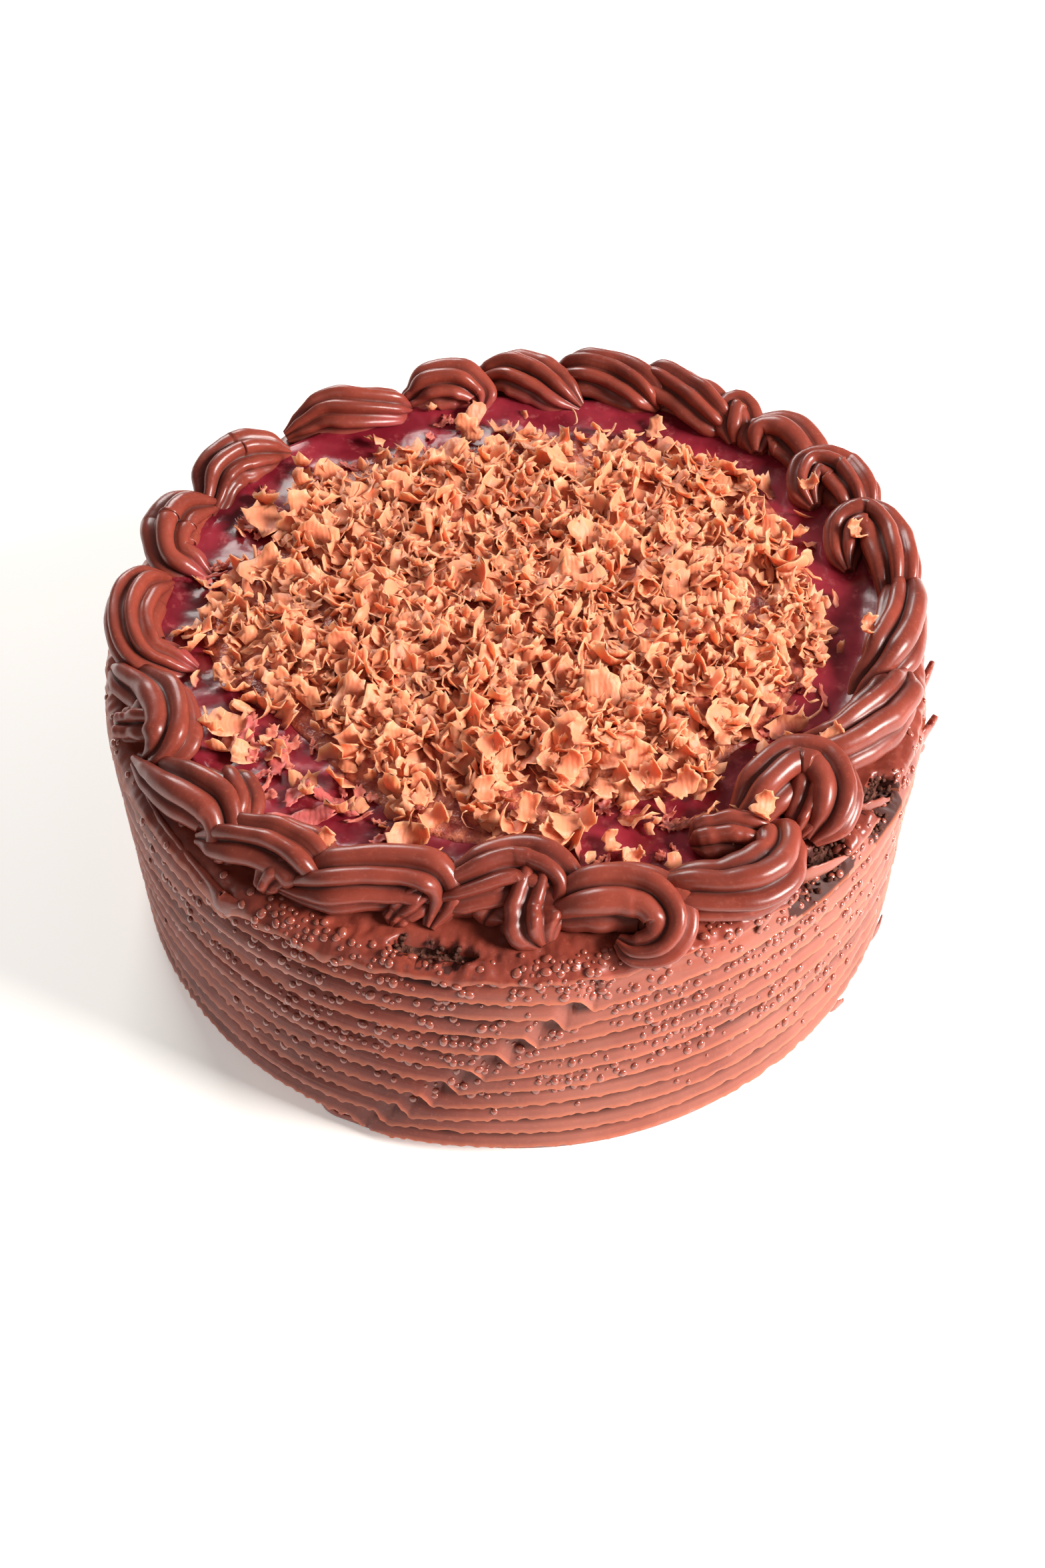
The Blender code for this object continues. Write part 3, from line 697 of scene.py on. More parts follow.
def tongueMesh(plan, name, knots):  # a flat ragged tongue that stands up on its edge
    stops = [(*onBearing(b, r * mm, h * mm), wide * mm, thick * mm) for b, r, h, wide, thick in knots]
    path = smoothPath(stops, plan["steps"])
    turns = [2 * math.pi * corner / plan["corners"] for corner in range(plan["corners"])]
    rings = []
    for number, knot in enumerate(path):
        before, after = path[max(number - 1, 0)][:3], path[min(number + 1, len(path) - 1)][:3]
        tangent = (Vector(after) - Vector(before)).normalized()
        side = tangent.cross(Vector((knot[0], knot[1], 0)).normalized()).normalized()
        flat = side.cross(tangent).normalized()
        ragged = 1 + plan["ragged"] * noise.noise(Vector((number * 0.55, knots[0][0], 0.4)))
        wide, thick = side * knot[3] * ragged, flat * knot[4]
        rings.append([Vector(knot[:3]) + wide * math.cos(turn) + thick * math.sin(turn) for turn in turns])
    return ringMesh(name, rings, Vector(path[0][:3]), Vector(path[-1][:3]))


# The piped border: one stroke of the bag for each entry, in the order they were piped, from its start
# to its tail. Bearing, radius and height of the middle in mm, share of the full width.
shellStrokes = (
    ((190.7, 96.4, 84, 0.5), (194.3, 92.5, 86, 0.85), (199.4, 89.5, 87.5, 1), (204.5, 90.1, 87.5, 1),
     (206.8, 93.7, 85.5, 0.85), (206.3, 98.1, 83, 0.6)),
    ((200.7, 92.2, 86, 0.8), (198.8, 97.0, 83, 0.7), (197.0, 101.2, 80, 0.5)),
    ((208.9, 97.6, 84, 0.5), (213.3, 95.5, 86, 0.9), (217.6, 93.0, 87.5, 1), (221.4, 91.3, 87, 0.95),
     (224.4, 93.0, 85, 0.8), (225.3, 96.3, 82, 0.6), (225.0, 98.5, 80, 0.4)),
    ((219.2, 84.9, 87, 0.7), (222.9, 85.8, 86.5, 0.65), (224.8, 89.6, 85, 0.55), (225.7, 93.5, 83.5, 0.4)),
    ((224.9, 95.4, 84, 0.5), (228.4, 92.5, 86.5, 0.9), (232.9, 89.7, 87.5, 1), (237.4, 89.0, 87, 1),
     (240.2, 90.3, 84.5, 0.8), (239.8, 94.1, 82, 0.6)),
    ((234.5, 92.5, 85, 0.6), (234.2, 96.1, 83, 0.5), (234.4, 98.1, 81, 0.35)),
    ((239.2, 92.4, 84, 0.5), (243.7, 89.8, 87, 0.95), (247.9, 86.1, 87.5, 1), (252.5, 83.3, 87.5, 1),
     (256.7, 82.8, 86.5, 0.95), (258.4, 85.7, 83.5, 0.7), (257.4, 91.3, 80.5, 0.5)),
    ((254.6, 85.9, 85, 0.6), (252.8, 89.8, 82, 0.5), (252.2, 92.4, 80, 0.35)),
    ((259.2, 84.3, 84, 0.5), (263.5, 81.9, 86.5, 0.95), (268.3, 78.5, 87.5, 1.05), (272.8, 78.5, 88, 1.05),
     (276.0, 81.9, 86, 0.9), (274.7, 86.5, 83, 0.8)),
    ((272.3, 81.1, 87, 0.8), (271.6, 86.2, 84, 1.0), (272.4, 90.6, 81.5, 1.1), (273.6, 94.0, 80, 0.75)),
    ((268.3, 81.8, 85, 0.6), (266.0, 86.0, 82.5, 0.7), (265.2, 88.7, 80.5, 0.45)),
    ((276.7, 86.8, 84, 0.5), (280.3, 87.2, 86.5, 0.95), (284.7, 88.0, 87.5, 1.05), (288.6, 91.4, 87.5, 1.05),
     (289.9, 97.1, 86, 0.9), (288.0, 100.2, 83.5, 0.75), (284.9, 99.3, 82, 0.6), (283.0, 96.3, 82.5, 0.45)),
    ((291.0, 88.9, 84.5, 0.55), (294.8, 92.2, 87, 0.95), (298.8, 95.6, 87.5, 1), (303.3, 97.2, 87.5, 1),
     (307.4, 95.6, 87.5, 0.95), (310.3, 90.8, 86, 0.8), (310.4, 85.8, 84.5, 0.6)),
    ((308.2, 85.6, 86, 0.5), (305.7, 82.8, 86.5, 0.75), (302.4, 80.5, 85.5, 0.75), (299.7, 79.2, 84, 0.45)),
    ((311.5, 80.0, 84, 0.5), (316.3, 79.4, 87, 0.95), (322.1, 80.2, 88, 1.05), (324.4, 85.3, 88, 1.05),
     (322.7, 91.1, 87, 0.95), (319.2, 94.1, 84.5, 0.8), (315.6, 94.0, 81.5, 0.55)),
    ((321.5, 86.9, 87, 0.7), (317.6, 89.5, 84.5, 0.65), (314.6, 91.3, 82, 0.4)),
    ((328.6, 81.1, 84, 0.5), (330.6, 86.2, 87, 0.95), (336.1, 90.4, 87.5, 1), (342.3, 94.1, 87.5, 0.95),
     (349.1, 96.1, 86, 0.6)),
    ((347.3, 88.2, 84, 0.5), (351.4, 91.6, 87, 0.95), (357.4, 95.0, 87.5, 1), (364.2, 97.5, 86.5, 0.85),
     (368.8, 98.2, 84.5, 0.5)),
    ((6.0, 96.5, 84, 0.5), (10.2, 97.4, 87.5, 0.95), (15.9, 98.2, 88, 1.05), (19.9, 96.7, 88, 1),
     (20.3, 91.1, 87, 0.85), (16.5, 87.9, 85.5, 0.65), (12.7, 87.2, 84.5, 0.4)),
    ((22.6, 98.0, 84, 0.5), (26.4, 99.3, 87.5, 0.95), (31.4, 99.3, 88, 1.05), (34.2, 95.8, 87.5, 0.95),
     (32.0, 90.5, 86.5, 0.75), (28.3, 89.0, 85.5, 0.5)),
    ((35.8, 98.2, 84, 0.5), (39.1, 99.3, 87, 0.9), (43.0, 99.0, 87.5, 1), (46.0, 95.1, 87, 0.85),
     (44.4, 90.5, 85.5, 0.5)),
    ((47.9, 94.9, 84, 0.5), (50.3, 97.8, 88, 0.65), (52.3, 98.4, 89, 0.7), (51.1, 94.1, 87, 0.65),
     (49.1, 90.2, 84.5, 0.45)),
    ((69.4, 98.6, 85.5, 0.7), (65.1, 97.7, 87.5, 1), (59.6, 95.7, 87.5, 1), (54.8, 94.1, 86.5, 0.9),
     (51.4, 94.5, 84.5, 0.55)),
    ((82.1, 96.9, 84.5, 0.6), (78.0, 96.3, 87.5, 1), (72.7, 95.8, 87.9, 1.05), (67.8, 93.4, 87, 0.95),
     (64.5, 91.6, 84.5, 0.55)),
    ((95.0, 95.6, 84, 0.5), (91.2, 94.9, 87, 0.95), (86.5, 91.7, 87.5, 1), (82.3, 88.4, 86, 0.85),
     (78.1, 86.1, 84, 0.45)),
    ((107.8, 91.6, 84, 0.5), (104.7, 92.3, 87, 0.95), (100.1, 91.2, 87.5, 1), (96.6, 87.7, 85.5, 0.7),
     (96.6, 83.8, 84, 0.4)),
    ((127.0, 95.9, 84, 0.5), (123.4, 94.1, 87, 0.95), (118.9, 90.4, 87.5, 1), (113.5, 88.8, 86, 0.8),
     (109.5, 88.9, 84, 0.45)),
    ((150.0, 93.1, 84, 0.5), (146.2, 95.6, 87, 0.95), (142.0, 95.3, 87.9, 1), (137.3, 92.9, 86.5, 0.8),
     (133.4, 89.9, 84.5, 0.45)),
    ((165.7, 86.9, 84, 0.5), (165.3, 92.0, 86, 0.8), (161.4, 95.3, 87.9, 1), (156.3, 95.4, 87.5, 0.95),
     (151.3, 91.6, 85, 0.6)),
    ((188.1, 86.5, 84, 0.5), (186.8, 92.6, 86.5, 0.9), (181.1, 95.8, 87.9, 1), (175.0, 95.2, 87.5, 0.95),
     (170.2, 90.3, 85, 0.6)),
)
pipingPlan = {
    "radius": 7.6 * mm, "lobes": 6, "samples": 60, "groove": 0.5, "wobble": 0.8 * mm,
    "steps": 44, "twist": 0.9, "uneven": 0.14, "top": 95.2 * mm, "seed": 11,
}
pipingLook = {
    "stain": {"reach": 0.088, "top": 0.0915, "fade": 0.006, "colour": (0.30, 0.05, 0.05, 1)},
    "grooves": (0.4, 0.92, 0.92),
}


def shellCurves(plan):
    curve = bpy.data.curves.new("shellPaths", "CURVE")
    curve.dimensions = "3D"
    draw = random.Random(plan["seed"])
    for first, *others in shellStrokes:
        # each starts under its neighbour
        lead = [2 * here - after for here, after in zip(first[:2], others[0][:2])]
        stroke = ((*lead, first[2] - 2, 0.45), (*first[:3], max(first[3], 0.7)), *others)
        stops = [(*onBearing(b, r * mm, h * mm), width) for b, r, h, width in stroke]
        path = smoothPath(stops, plan["steps"])
        spline = curve.splines.new("POLY")
        spline.points.add(len(path) - 1)
        spin, pulse = draw.uniform(0, 2 * math.pi), draw.uniform(0, 50)
        for number, (x, y, z, width) in enumerate(path):
            share = number / (len(path) - 1)
            blunt = min(1, 0.35 + 5 * share, 0.25 + 6 * (1 - share)) ** 0.5  # rounds both ends
            uneven = 1 + plan["uneven"] * noise.noise(Vector((8 * share, pulse, 0.5)))
            radius = max(width, 0.1) * blunt * uneven * plan["radius"]
            spline.points[number].co = (x, y, min(z, plan["top"] - radius), 1)
            spline.points[number].radius = radius
            spline.points[number].tilt = spin + plan["twist"] * share
    return addObject("shellPaths", curve)


def newTree(name, inputs):
    tree = bpy.data.node_groups.new(name, "GeometryNodeTree")
    tree.interface.new_socket("Geometry", in_out="INPUT", socket_type="NodeSocketGeometry")
    for label, kind in inputs.items():
        tree.interface.new_socket(label, in_out="INPUT", socket_type="NodeSocket" + kind)
    tree.interface.new_socket("Geometry", in_out="OUTPUT", socket_type="NodeSocketGeometry")
    nodes = Nodes(tree)
    return tree, nodes, nodes.add("NodeGroupInput").outputs


def endTree(nodes, geometry, material):  # every tree ends in real meshes with their material
    real = nodes.add("GeometryNodeRealizeInstances", {"Geometry": geometry})
    dressed = nodes.add("GeometryNodeSetMaterial", {"Geometry": real.outputs[0], "Material": material})
    nodes.tree.links.new(dressed.outputs[0], nodes.add("NodeGroupOutput").inputs[0])


def runTree(name, carrier, tree, values, material):  # sets the inputs, evaluates once and keeps a plain mesh
    modifier = carrier.modifiers.new(tree.name, "NODES")
    modifier.node_group = tree
    for item in tree.interface.items_tree:
        if item.in_out == "INPUT" and item.name in values:
            modifier[item.identifier] = values[item.name]
    graph = bpy.context.evaluated_depsgraph_get()
    mesh = bpy.data.meshes.new_from_object(carrier.evaluated_get(graph))
    mesh.name = name
    carrier.modifiers.remove(modifier)
    bpy.data.objects.remove(carrier, do_unlink=True)
    mesh.materials.clear()
    mesh.materials.append(material)
    return addObject(name, mesh)


def pipingTree(material):
    tree, nodes, given = newTree("starPiping", {"lobes": "Int", "samples": "Int", "groove": "Float",
                                                "wobble": "Float"})
    circle = nodes.add("GeometryNodeCurvePrimitiveCircle", {"Resolution": given["samples"], "Radius": 1.0})
    position = nodes.add("GeometryNodeInputPosition").outputs[0]
    split = nodes.add("ShaderNodeSeparateXYZ", {0: position})
    angle = nodes.math("ARCTAN2", split.outputs[1], split.outputs[0])
    swing = nodes.math("SINE", nodes.math("ADD", angle, 0.7))
    bent = nodes.math("ADD", angle, nodes.times(swing, 0.32))  # lobes of uneven width
    half = nodes.times(given["lobes"], 0.5)
    wave = nodes.math("ABSOLUTE", nodes.math("COSINE", nodes.times(bent, half)))
    depth = nodes.math("SUBTRACT", 1.0, nodes.math("POWER", wave, 0.65))
    cut = nodes.times(given["groove"], depth)
    star = nodes.add("GeometryNodeSetPosition", {
        "Geometry": circle.outputs[0], "Position": nodes.scale(position, nodes.math("SUBTRACT", 1.0, cut))})
    # the grooves' depth is kept for the painted shade in the lobes' grooves
    marked = nodes.add("GeometryNodeStoreNamedAttribute", {
        "Geometry": star.outputs[0], "Name": "grooveDepth", "Value": depth},
        data_type="FLOAT", domain="POINT")
    swept = nodes.add("GeometryNodeCurveToMesh", {
        "Curve": given["Geometry"], "Profile Curve": marked.outputs[0],
        "Scale": nodes.add("GeometryNodeInputRadius").outputs[0], "Fill Caps": True})
    uneven = nodes.noise(nodes.add("GeometryNodeInputPosition").outputs[0], 110.0, 2.0)
    push = nodes.times(nodes.math("SUBTRACT", uneven, 0.5), given["wobble"])
    offset = nodes.scale(nodes.add("GeometryNodeInputNormal").outputs[0], push)
    moved = nodes.add("GeometryNodeSetPosition", {"Geometry": swept.outputs[0], "Offset": offset})
    smooth = nodes.add("GeometryNodeSetShadeSmooth", {"Geometry": moved.outputs[0]})
    endTree(nodes, smooth.outputs[0], material)
    return tree


# Middle of the border in mm, every 10 degrees
borderTable = (96, 98, 99, 97, 97, 96, 94, 92, 90, 90, 91, 90, 92, 93, 95, 93, 93, 93, 95, 93,
               91, 90, 89, 91, 88, 84, 81, 81, 84, 88, 94, 90, 84, 88, 91, 93)
jellyPlan = {"columns": 360, "shares": (0.3, 0.5, 0.62), "rows": 34,
             "climb": 1.2, "waves": 0.30, "ripples": 0.22}


def buildJelly(plan, material):
    shares, rows = plan["shares"], plan["rows"]
    rings = []
    for share in [*shares, *(shares[-1] + (1 - shares[-1]) * step / rows for step in range(1, rows + 1))]:
        ring = []
        for bearing in evenBearings(plan["columns"]):
            spot = onBearing(bearing, share * (roundTable(borderTable, bearing) - 1.5) * mm, 0)
            waves = plan["waves"] * noise.noise(spot / (9 * mm))
            ripples = plan["ripples"] * noise.noise(spot / (3 * mm))
            climb = plan["climb"] * smoothStep(0.90, 0.98, share)
            ring.append(Vector((spot.x, spot.y, jellyTop + (waves + ripples + climb) * mm)))
        rings.append(ring)
    rings.append([Vector((p.x, p.y, jellyFoot)) for p in rings[-1]])
    mesh = ringMesh("jellyGlaze", rings[::-1], Vector((0, 0, jellyFoot)), Vector((0, 0, jellyTop)))
    return joinPieces("jellyGlaze", [mesh], material)


# Edge of the heap of shavings in mm, every 10 degrees
heapTable = (77, 77, 77, 80, 82, 81, 79, 76, 72, 68, 66, 68, 73, 74, 74, 71, 73, 75, 79, 76,
             69, 63, 62, 63, 65, 68, 69, 66, 65, 58, 63, 69, 65, 68, 70, 75)
heapPlan = {"rings": 44, "columns": 180, "base": 0.2, "mound": 3.4,
            "lumps": 1.2, "lumpSize": 13 * mm, "crumple": 1.0, "crumpleSize": 4 * mm}
groundPlan = {"rings": 60, "columns": 200, "inside": 4}  # the flakes fall on it, to 4 mm inside the border


def heapHeight(x, y):
    bearing, reach = bearingOf((x, y)), math.hypot(x, y)
    share = reach / (roundTable(heapTable, bearing) * mm)
    spot = Vector((x, y, 0))
    lumps = (heapPlan["lumps"] * noise.noise(spot / heapPlan["lumpSize"])
             + heapPlan["crumple"] * noise.noise(spot / heapPlan["crumpleSize"]))
    mound = heapPlan["mound"] * max(0, 1 - share ** 3) + lumps * max(0, 1 - share ** 6)
    return jellyTop + (heapPlan["base"] + max(mound, -0.1)) * mm


def discMesh(name, plan, reachTable):  # follows the heap's height inside the table's edge
    rows = []
    for row in range(1, plan["rings"] + 1):
        spots = [onBearing(b, roundTable(reachTable, b) * mm * row / plan["rings"], 0)
                 for b in evenBearings(plan["columns"])]
        rows.append([Vector((p.x, p.y, heapHeight(p.x, p.y))) for p in spots])
    rows.append([Vector((p.x, p.y, jellyFoot)) for p in rows[-1]])
    return ringMesh(name, rows[::-1], Vector((0, 0, jellyFoot)), Vector((0, 0, heapHeight(0, 0))))


flakeKinds = {  # sizes in mm
    "petals": {"count": 14, "length": (6.0, 10.5), "width": (3.8, 7.0), "curl": (2.6, 8),
               "turn": 0.35, "ruffle": 0.9, "columns": 8, "rows": 4, "thick": 0.5},
    "shards": {"count": 12, "length": (3.0, 6.0), "width": (1.8, 3.8), "curl": (2.0, 6),
               "turn": 0.6, "ruffle": 0.4, "columns": 4, "rows": 3, "thick": 0.5},
    "curls": {"count": 8, "length": (10, 15), "width": (3.5, 6), "curl": (2.2, 3.8),
              "turn": 0.2, "ruffle": 0.35, "columns": 11, "rows": 3, "thick": 0.55},
    "threads": {"count": 8, "length": (5, 10), "width": (0.7, 1.4), "curl": (2.0, 6),
                "turn": 0.9, "ruffle": 0.2, "columns": 6, "rows": 2, "thick": 0.45},
}


# A bent chip with a torn rim
def flakeMesh(name, draw, length, width, curl, turn, ruffle, columns, rows, thick, torn=0.75):
    seed = draw.uniform(0, 50)
    cup = draw.uniform(-0.1, 0.22) * width
    wave = draw.uniform(1.2, 2.4) * math.pi
    points, rims = [], []
    for side in (1, -1):
        for u in (column / (columns - 1) - 0.5 for column in range(columns)):
            for v in (row / (rows - 1) - 0.5 for row in range(rows)):
                atEnd, atSide = abs(u) > 0.49, abs(v) > 0.49
                tornU = 1 + (0.45 * noise.noise(Vector((v * 4.3, seed, 0.7))) if atEnd else 0)
                tornV = 1 + (torn * noise.noise(Vector((u * 9.1, seed, 4.9 + 3 * v))) if atSide else 0)
                x, y = u * length * tornU, v * width * tornV * (1 - 0.9 * u * u)
                radius = curl + side * thick * (0.14 if atEnd or atSide else 0.5)
                edge = ruffle * math.sin(wave * 2 * u + seed) * (2 * v) ** 2 * mm
                height = (curl - radius * math.cos(x / curl) + cup * (2 * v) ** 2 + edge
                          + turn * x * y / length)
                points.append((radius * math.sin(x / curl), y, height))
                rims.append(1.0 if atEnd or atSide else 0.0)
    layer, last, faces = columns * rows, (columns - 1) * rows, []
    for column in range(columns - 1):
        for row in range(rows - 1):
            a = column * rows + row
            b = a + rows
            faces += [(a, b, b + 1, a + 1), (layer + a, layer + a + 1, layer + b + 1, layer + b)]
    border = [*range(0, last + 1, rows), *range(last + 1, layer), *range(last - 1, 0, -rows),
              *range(rows - 2, 0, -1)]  # round the chip, along one side and back along the other
    for a, b in zip(border, border[1:] + border[:1]):
        faces.append((a, layer + a, layer + b, b))
    mesh = bpy.data.meshes.new(name)
    mesh.from_pydata(points, [], faces)
    markPoints(mesh, "flakeRim", rims)
    mesh.shade_smooth()
    return outward(mesh)


def kindOfFlake(name, kind, draw):
    plan = flakeKinds[kind]
    length, width, curl = (draw.uniform(*plan[key]) * mm for key in ("length", "width", "curl"))
    return flakeMesh(name, draw, length, width, curl, draw.uniform(-1, 1) * plan["turn"], plan["ruffle"],
                     plan["columns"], plan["rows"], plan["thick"] * mm)


scatterPlans = {  # spacing and lift in metres, tilt in radians, small to large as a share or in metres
    "petals": {"spacing": 2.9 * mm, "density": 200000.0, "tilt": 0.85, "lift": 2.6 * mm,
               "small": 0.7, "large": 1.25, "flat": 1.0, "seed": 3},
    "shards": {"spacing": 1.8 * mm, "density": 260000.0, "tilt": 1.1, "lift": 2.8 * mm,
               "small": 0.7, "large": 1.3, "flat": 1.0, "seed": 7},
    "curls": {"spacing": 7.5 * mm, "density": 20000.0, "tilt": 0.8, "lift": 2.2 * mm,
              "small": 0.7, "large": 1.0, "flat": 1.0, "seed": 5},
    "threads": {"spacing": 3.0 * mm, "density": 60000.0, "tilt": 1.0, "lift": 3.0 * mm,
                "small": 0.6, "large": 1.2, "flat": 1.0, "seed": 9},
    "dew": {"spacing": 1.5 * mm, "density": 900000.0, "tilt": 0.0, "lift": 0.0,
            "small": 0.42 * mm, "large": 1.15 * mm, "flat": 0.6, "seed": 21},
    "crumbs": {"spacing": 0.9 * mm, "density": 900000.0, "tilt": 3.0, "lift": 0.6 * mm,
               "small": 0.4 * mm, "large": 1.1 * mm, "flat": 0.8, "seed": 31},
}


def scatterTree(name, material, collection=None, facets=1):
    sizes = ("spacing", "density", "tilt", "lift", "small", "large", "flat")
    tree, nodes, given = newTree(name, {**dict.fromkeys(sizes, "Float"), "seed": "Int"})
    cover = nodes.add("GeometryNodeInputNamedAttribute", {"Name": "cover"}, data_type="FLOAT").outputs[0]
    spread = nodes.add("GeometryNodeDistributePointsOnFaces", {
        "Mesh": given["Geometry"], "Distance Min": given["spacing"], "Density Max": given["density"],
        "Density Factor": cover, "Seed": given["seed"]}, distribute_method="POISSON")

    def draw(low, high, offset):  # a random number for each point
        inputs = {2: low, 3: high, "Seed": nodes.math("ADD", given["seed"], offset)}
        return nodes.add("FunctionNodeRandomValue", inputs, data_type="FLOAT").outputs[1]
    tilt, back = given["tilt"], nodes.times(given["tilt"], -1.0)
    turn = nodes.add("ShaderNodeCombineXYZ", {
        0: draw(back, tilt, 1.0), 1: draw(back, tilt, 2.0), 2: draw(0.0, 2 * math.pi, 3.0)})
    turned = nodes.add("FunctionNodeEulerToRotation", {0: turn.outputs[0]})
    facing = nodes.add("FunctionNodeRotateRotation", {
        "Rotation": spread.outputs["Rotation"], "Rotate By": turned.outputs[0]}, rotation_space="LOCAL")
    size = draw(given["small"], given["large"], 4.0)
    long = nodes.times(size, draw(0.85, 1.35, 7.0))
    scale = nodes.add("ShaderNodeCombineXYZ", {0: long, 1: size, 2: nodes.times(size, given["flat"])})
    lifted = nodes.scale(spread.outputs["Normal"], draw(0.0, given["lift"], 5.0))
    points = nodes.add("GeometryNodeSetPosition", {"Geometry": spread.outputs["Points"], "Offset": lifted})
    inputs = {"Points": points.outputs[0], "Rotation": facing.outputs[0], "Scale": scale.outputs[0]}
    if collection:
        kit = nodes.add("GeometryNodeCollectionInfo", {
            "Collection": collection, "Separate Children": True, "Reset Children": True})
        inputs.update({"Instance": kit.outputs[0], "Pick Instance": True})
    else:
        ball = nodes.add("GeometryNodeMeshIcoSphere", {"Radius": 1.0, "Subdivisions": facets})
        smooth = nodes.add("GeometryNodeSetShadeSmooth", {"Geometry": ball.outputs[0]})
        inputs["Instance"] = smooth.outputs[0]
    placed = nodes.add("GeometryNodeInstanceOnPoints", inputs)
    tone = nodes.add("GeometryNodeStoreNamedAttribute", {
        "Geometry": placed.outputs[0], "Name": "flakeTone", "Value": draw(0.0, 1.0, 6.0)},
        data_type="FLOAT", domain="INSTANCE")
    endTree(nodes, tone.outputs[0], material)
    return tree


def carrierFor(name, mesh, cover):  # a mesh to scatter on, with its share of cover at each point
    shares = [cover(vertex.co) for vertex in mesh.vertices]
    if "dewShare" in mesh.attributes and name == "dew":
        shares = [share * mark.value for share, mark in zip(shares, mesh.attributes["dewShare"].data)]
    markPoints(mesh, "cover", shares)
    return addObject(name + "Carrier", mesh)


def heapCover(place):  # full on the heap, thin on the jelly round it, none under the heap
    if place.z < jellyTop:
        return 0.0
    bearing, reach = bearingOf(place), math.hypot(place.x, place.y) / mm
    edge = roundTable(heapTable, bearing)
    rim = smoothStep(0.6, 1.0, reach / edge)  # thinner and more broken towards the edge
    gaps = smoothStep(-0.42 + 0.35 * rim, -0.2 + 0.4 * rim, noise.noise(Vector(place) / (9 * mm)))
    onHeap = (1 - smoothStep(edge - 5, edge + 2, reach)) * (0.2 + 0.8 * gaps)
    return onHeap + 0.08 * (1 - smoothStep(80, 87, reach))


def buildFlakes(kind, material):
    kit = bpy.data.collections.new(kind + "Kit")
    scene.collection.children.link(kit)
    draw = random.Random(scatterPlans[kind]["seed"])
    for number in range(flakeKinds[kind]["count"]):
        addObject(f"{kind}{number}", kindOfFlake(f"{kind}{number}", kind, draw), kit)
    ground = discMesh(kind, groundPlan, [value - groundPlan["inside"] for value in borderTable])
    piece = runTree("chocolate" + kind.capitalize(), carrierFor(kind, ground, heapCover),
                    scatterTree(kind, material, kit), scatterPlans[kind], material)
    for old in list(kit.objects):
        bpy.data.objects.remove(old, do_unlink=True)
    bpy.data.collections.remove(kit)
    return piece


# Larger chips, listed one by one: bearing, radius, lift over the heap or jelly, length, width and curl in mm,
# turn and tilt in degrees, stain
laidChips = (
    (281, 66.5, 4, 15, 8, 9, 12, 18, 0), (272, 62, 4.5, 12, 7, 6, 75, 30, 0),
    (262, 58, 4.5, 11, 7, 5, 95, 35, 0), (292, 58, 4, 14, 7, 8, 35, 22, 0),
    (300, 60, 4, 12, 8, 6, 20, 35, 0), (283, 52, 4.5, 13, 7, 5.5, 60, 40, 0),
    (305, 66, 3.5, 13, 7, 7, 50, 15, 0), (276, 70, 3.5, 11, 6, 6, 140, 25, 0),
    (268, 67, 4, 12, 6.5, 5, 160, 35, 0), (253, 66, 3.5, 12, 6, 5, 20, 30, 0),
    (289, 44, 5, 12, 8, 6, 110, 35, 0), (262, 45, 5, 12, 7, 5, 30, 40, 0),
    (233, 70.5, 0.3, 15, 4.4, 30, -38, 4, 1), (231, 78.5, 0.4, 17, 5.4, 30, 12, 5, 1),
    (226, 74.5, 0.4, 9, 4.5, 20, 60, 6, 1), (217, 71, 0.4, 13, 5, 25, 85, 6, 1),
    (209, 74, 0.4, 10, 4.5, 22, 70, 8, 1), (148, 77, 0.8, 15, 4, 20, 128, 10, 0.5),
    (287, 72, 1.5, 9, 5, 4, 100, 25, 0), (289, 80, 5, 7, 4, 4, 30, 25, 0),
    (311, 84.5, 8.5, 10, 7, 5, 70, 40, 0), (330, 84.5, 9, 8, 6, 6, 30, 30, 0),
    (355, 86, 8.5, 8, 5, 4, 80, 30, 0), (30, 88.5, 9, 8, 5, 4, 10, 30, 0),
    (239, 84, 8.7, 6.5, 5, 4, 40, 35, 0), (17, 90, 9.3, 8, 5, 4, 100, 25, 0),
)
# Sectors of the jelly with small soaked bits: first and last bearing, least and greatest radius in mm, count
bitSectors = ((126, 176, 66, 83, 34), (204, 250, 62, 80, 22), (284, 302, 56, 80, 16), (90, 122, 64, 84, 14),
              (322, 345, 66, 78, 8))
chipPlan = {"seed": 17, "long": 0.85, "wide": 0.72, "curled": 0.6, "top": 91.5 * mm,
            "shape": {"turn": 0.1, "ruffle": 0.6, "columns": 14, "rows": 6, "thick": 0.6 * mm, "torn": 0.6}}


def soakedBits(draw):
    for first, last, least, greatest, count in bitSectors:
        for _ in range(count):
            yield (draw.uniform(first, last), draw.uniform(least, greatest), 0.35, draw.uniform(3, 8),
                   draw.uniform(1.3, 3.6), draw.uniform(5, 20), draw.uniform(0, 180), 9, draw.uniform(0.5, 1))


def buildLaidChips(plan, material):
    draw = random.Random(plan["seed"])
    meshes = []
    chips = [*laidChips, *soakedBits(draw)]
    for number, (bearing, radius, lift, length, width, curl, turn, tilt, stain) in enumerate(chips):
        chip = flakeMesh(f"chip{number}", draw, plan["long"] * length * mm, plan["wide"] * width * mm,
                         plan["curled"] * curl * mm, **plan["shape"])
        spin = Euler((math.radians(tilt * draw.uniform(0.4, 1)), math.radians(-tilt * draw.uniform(0.2, 1)),
                      math.radians(turn)), "XYZ").to_matrix().to_4x4()
        spot = onBearing(bearing, radius * mm, 0)
        spot.z = heapHeight(spot.x, spot.y) + lift * mm
        spot.z = min(spot.z, plan["top"])
        chip.transform(Matrix.Translation(spot) @ spin)
        for label, value in (("flakeTone", draw.uniform(0.1, 0.5)), ("flakeStain", float(stain))):
            markPoints(chip, label, [value] * len(chip.vertices))
        meshes.append(chip)
    return joinPieces("laidChips", meshes, material)


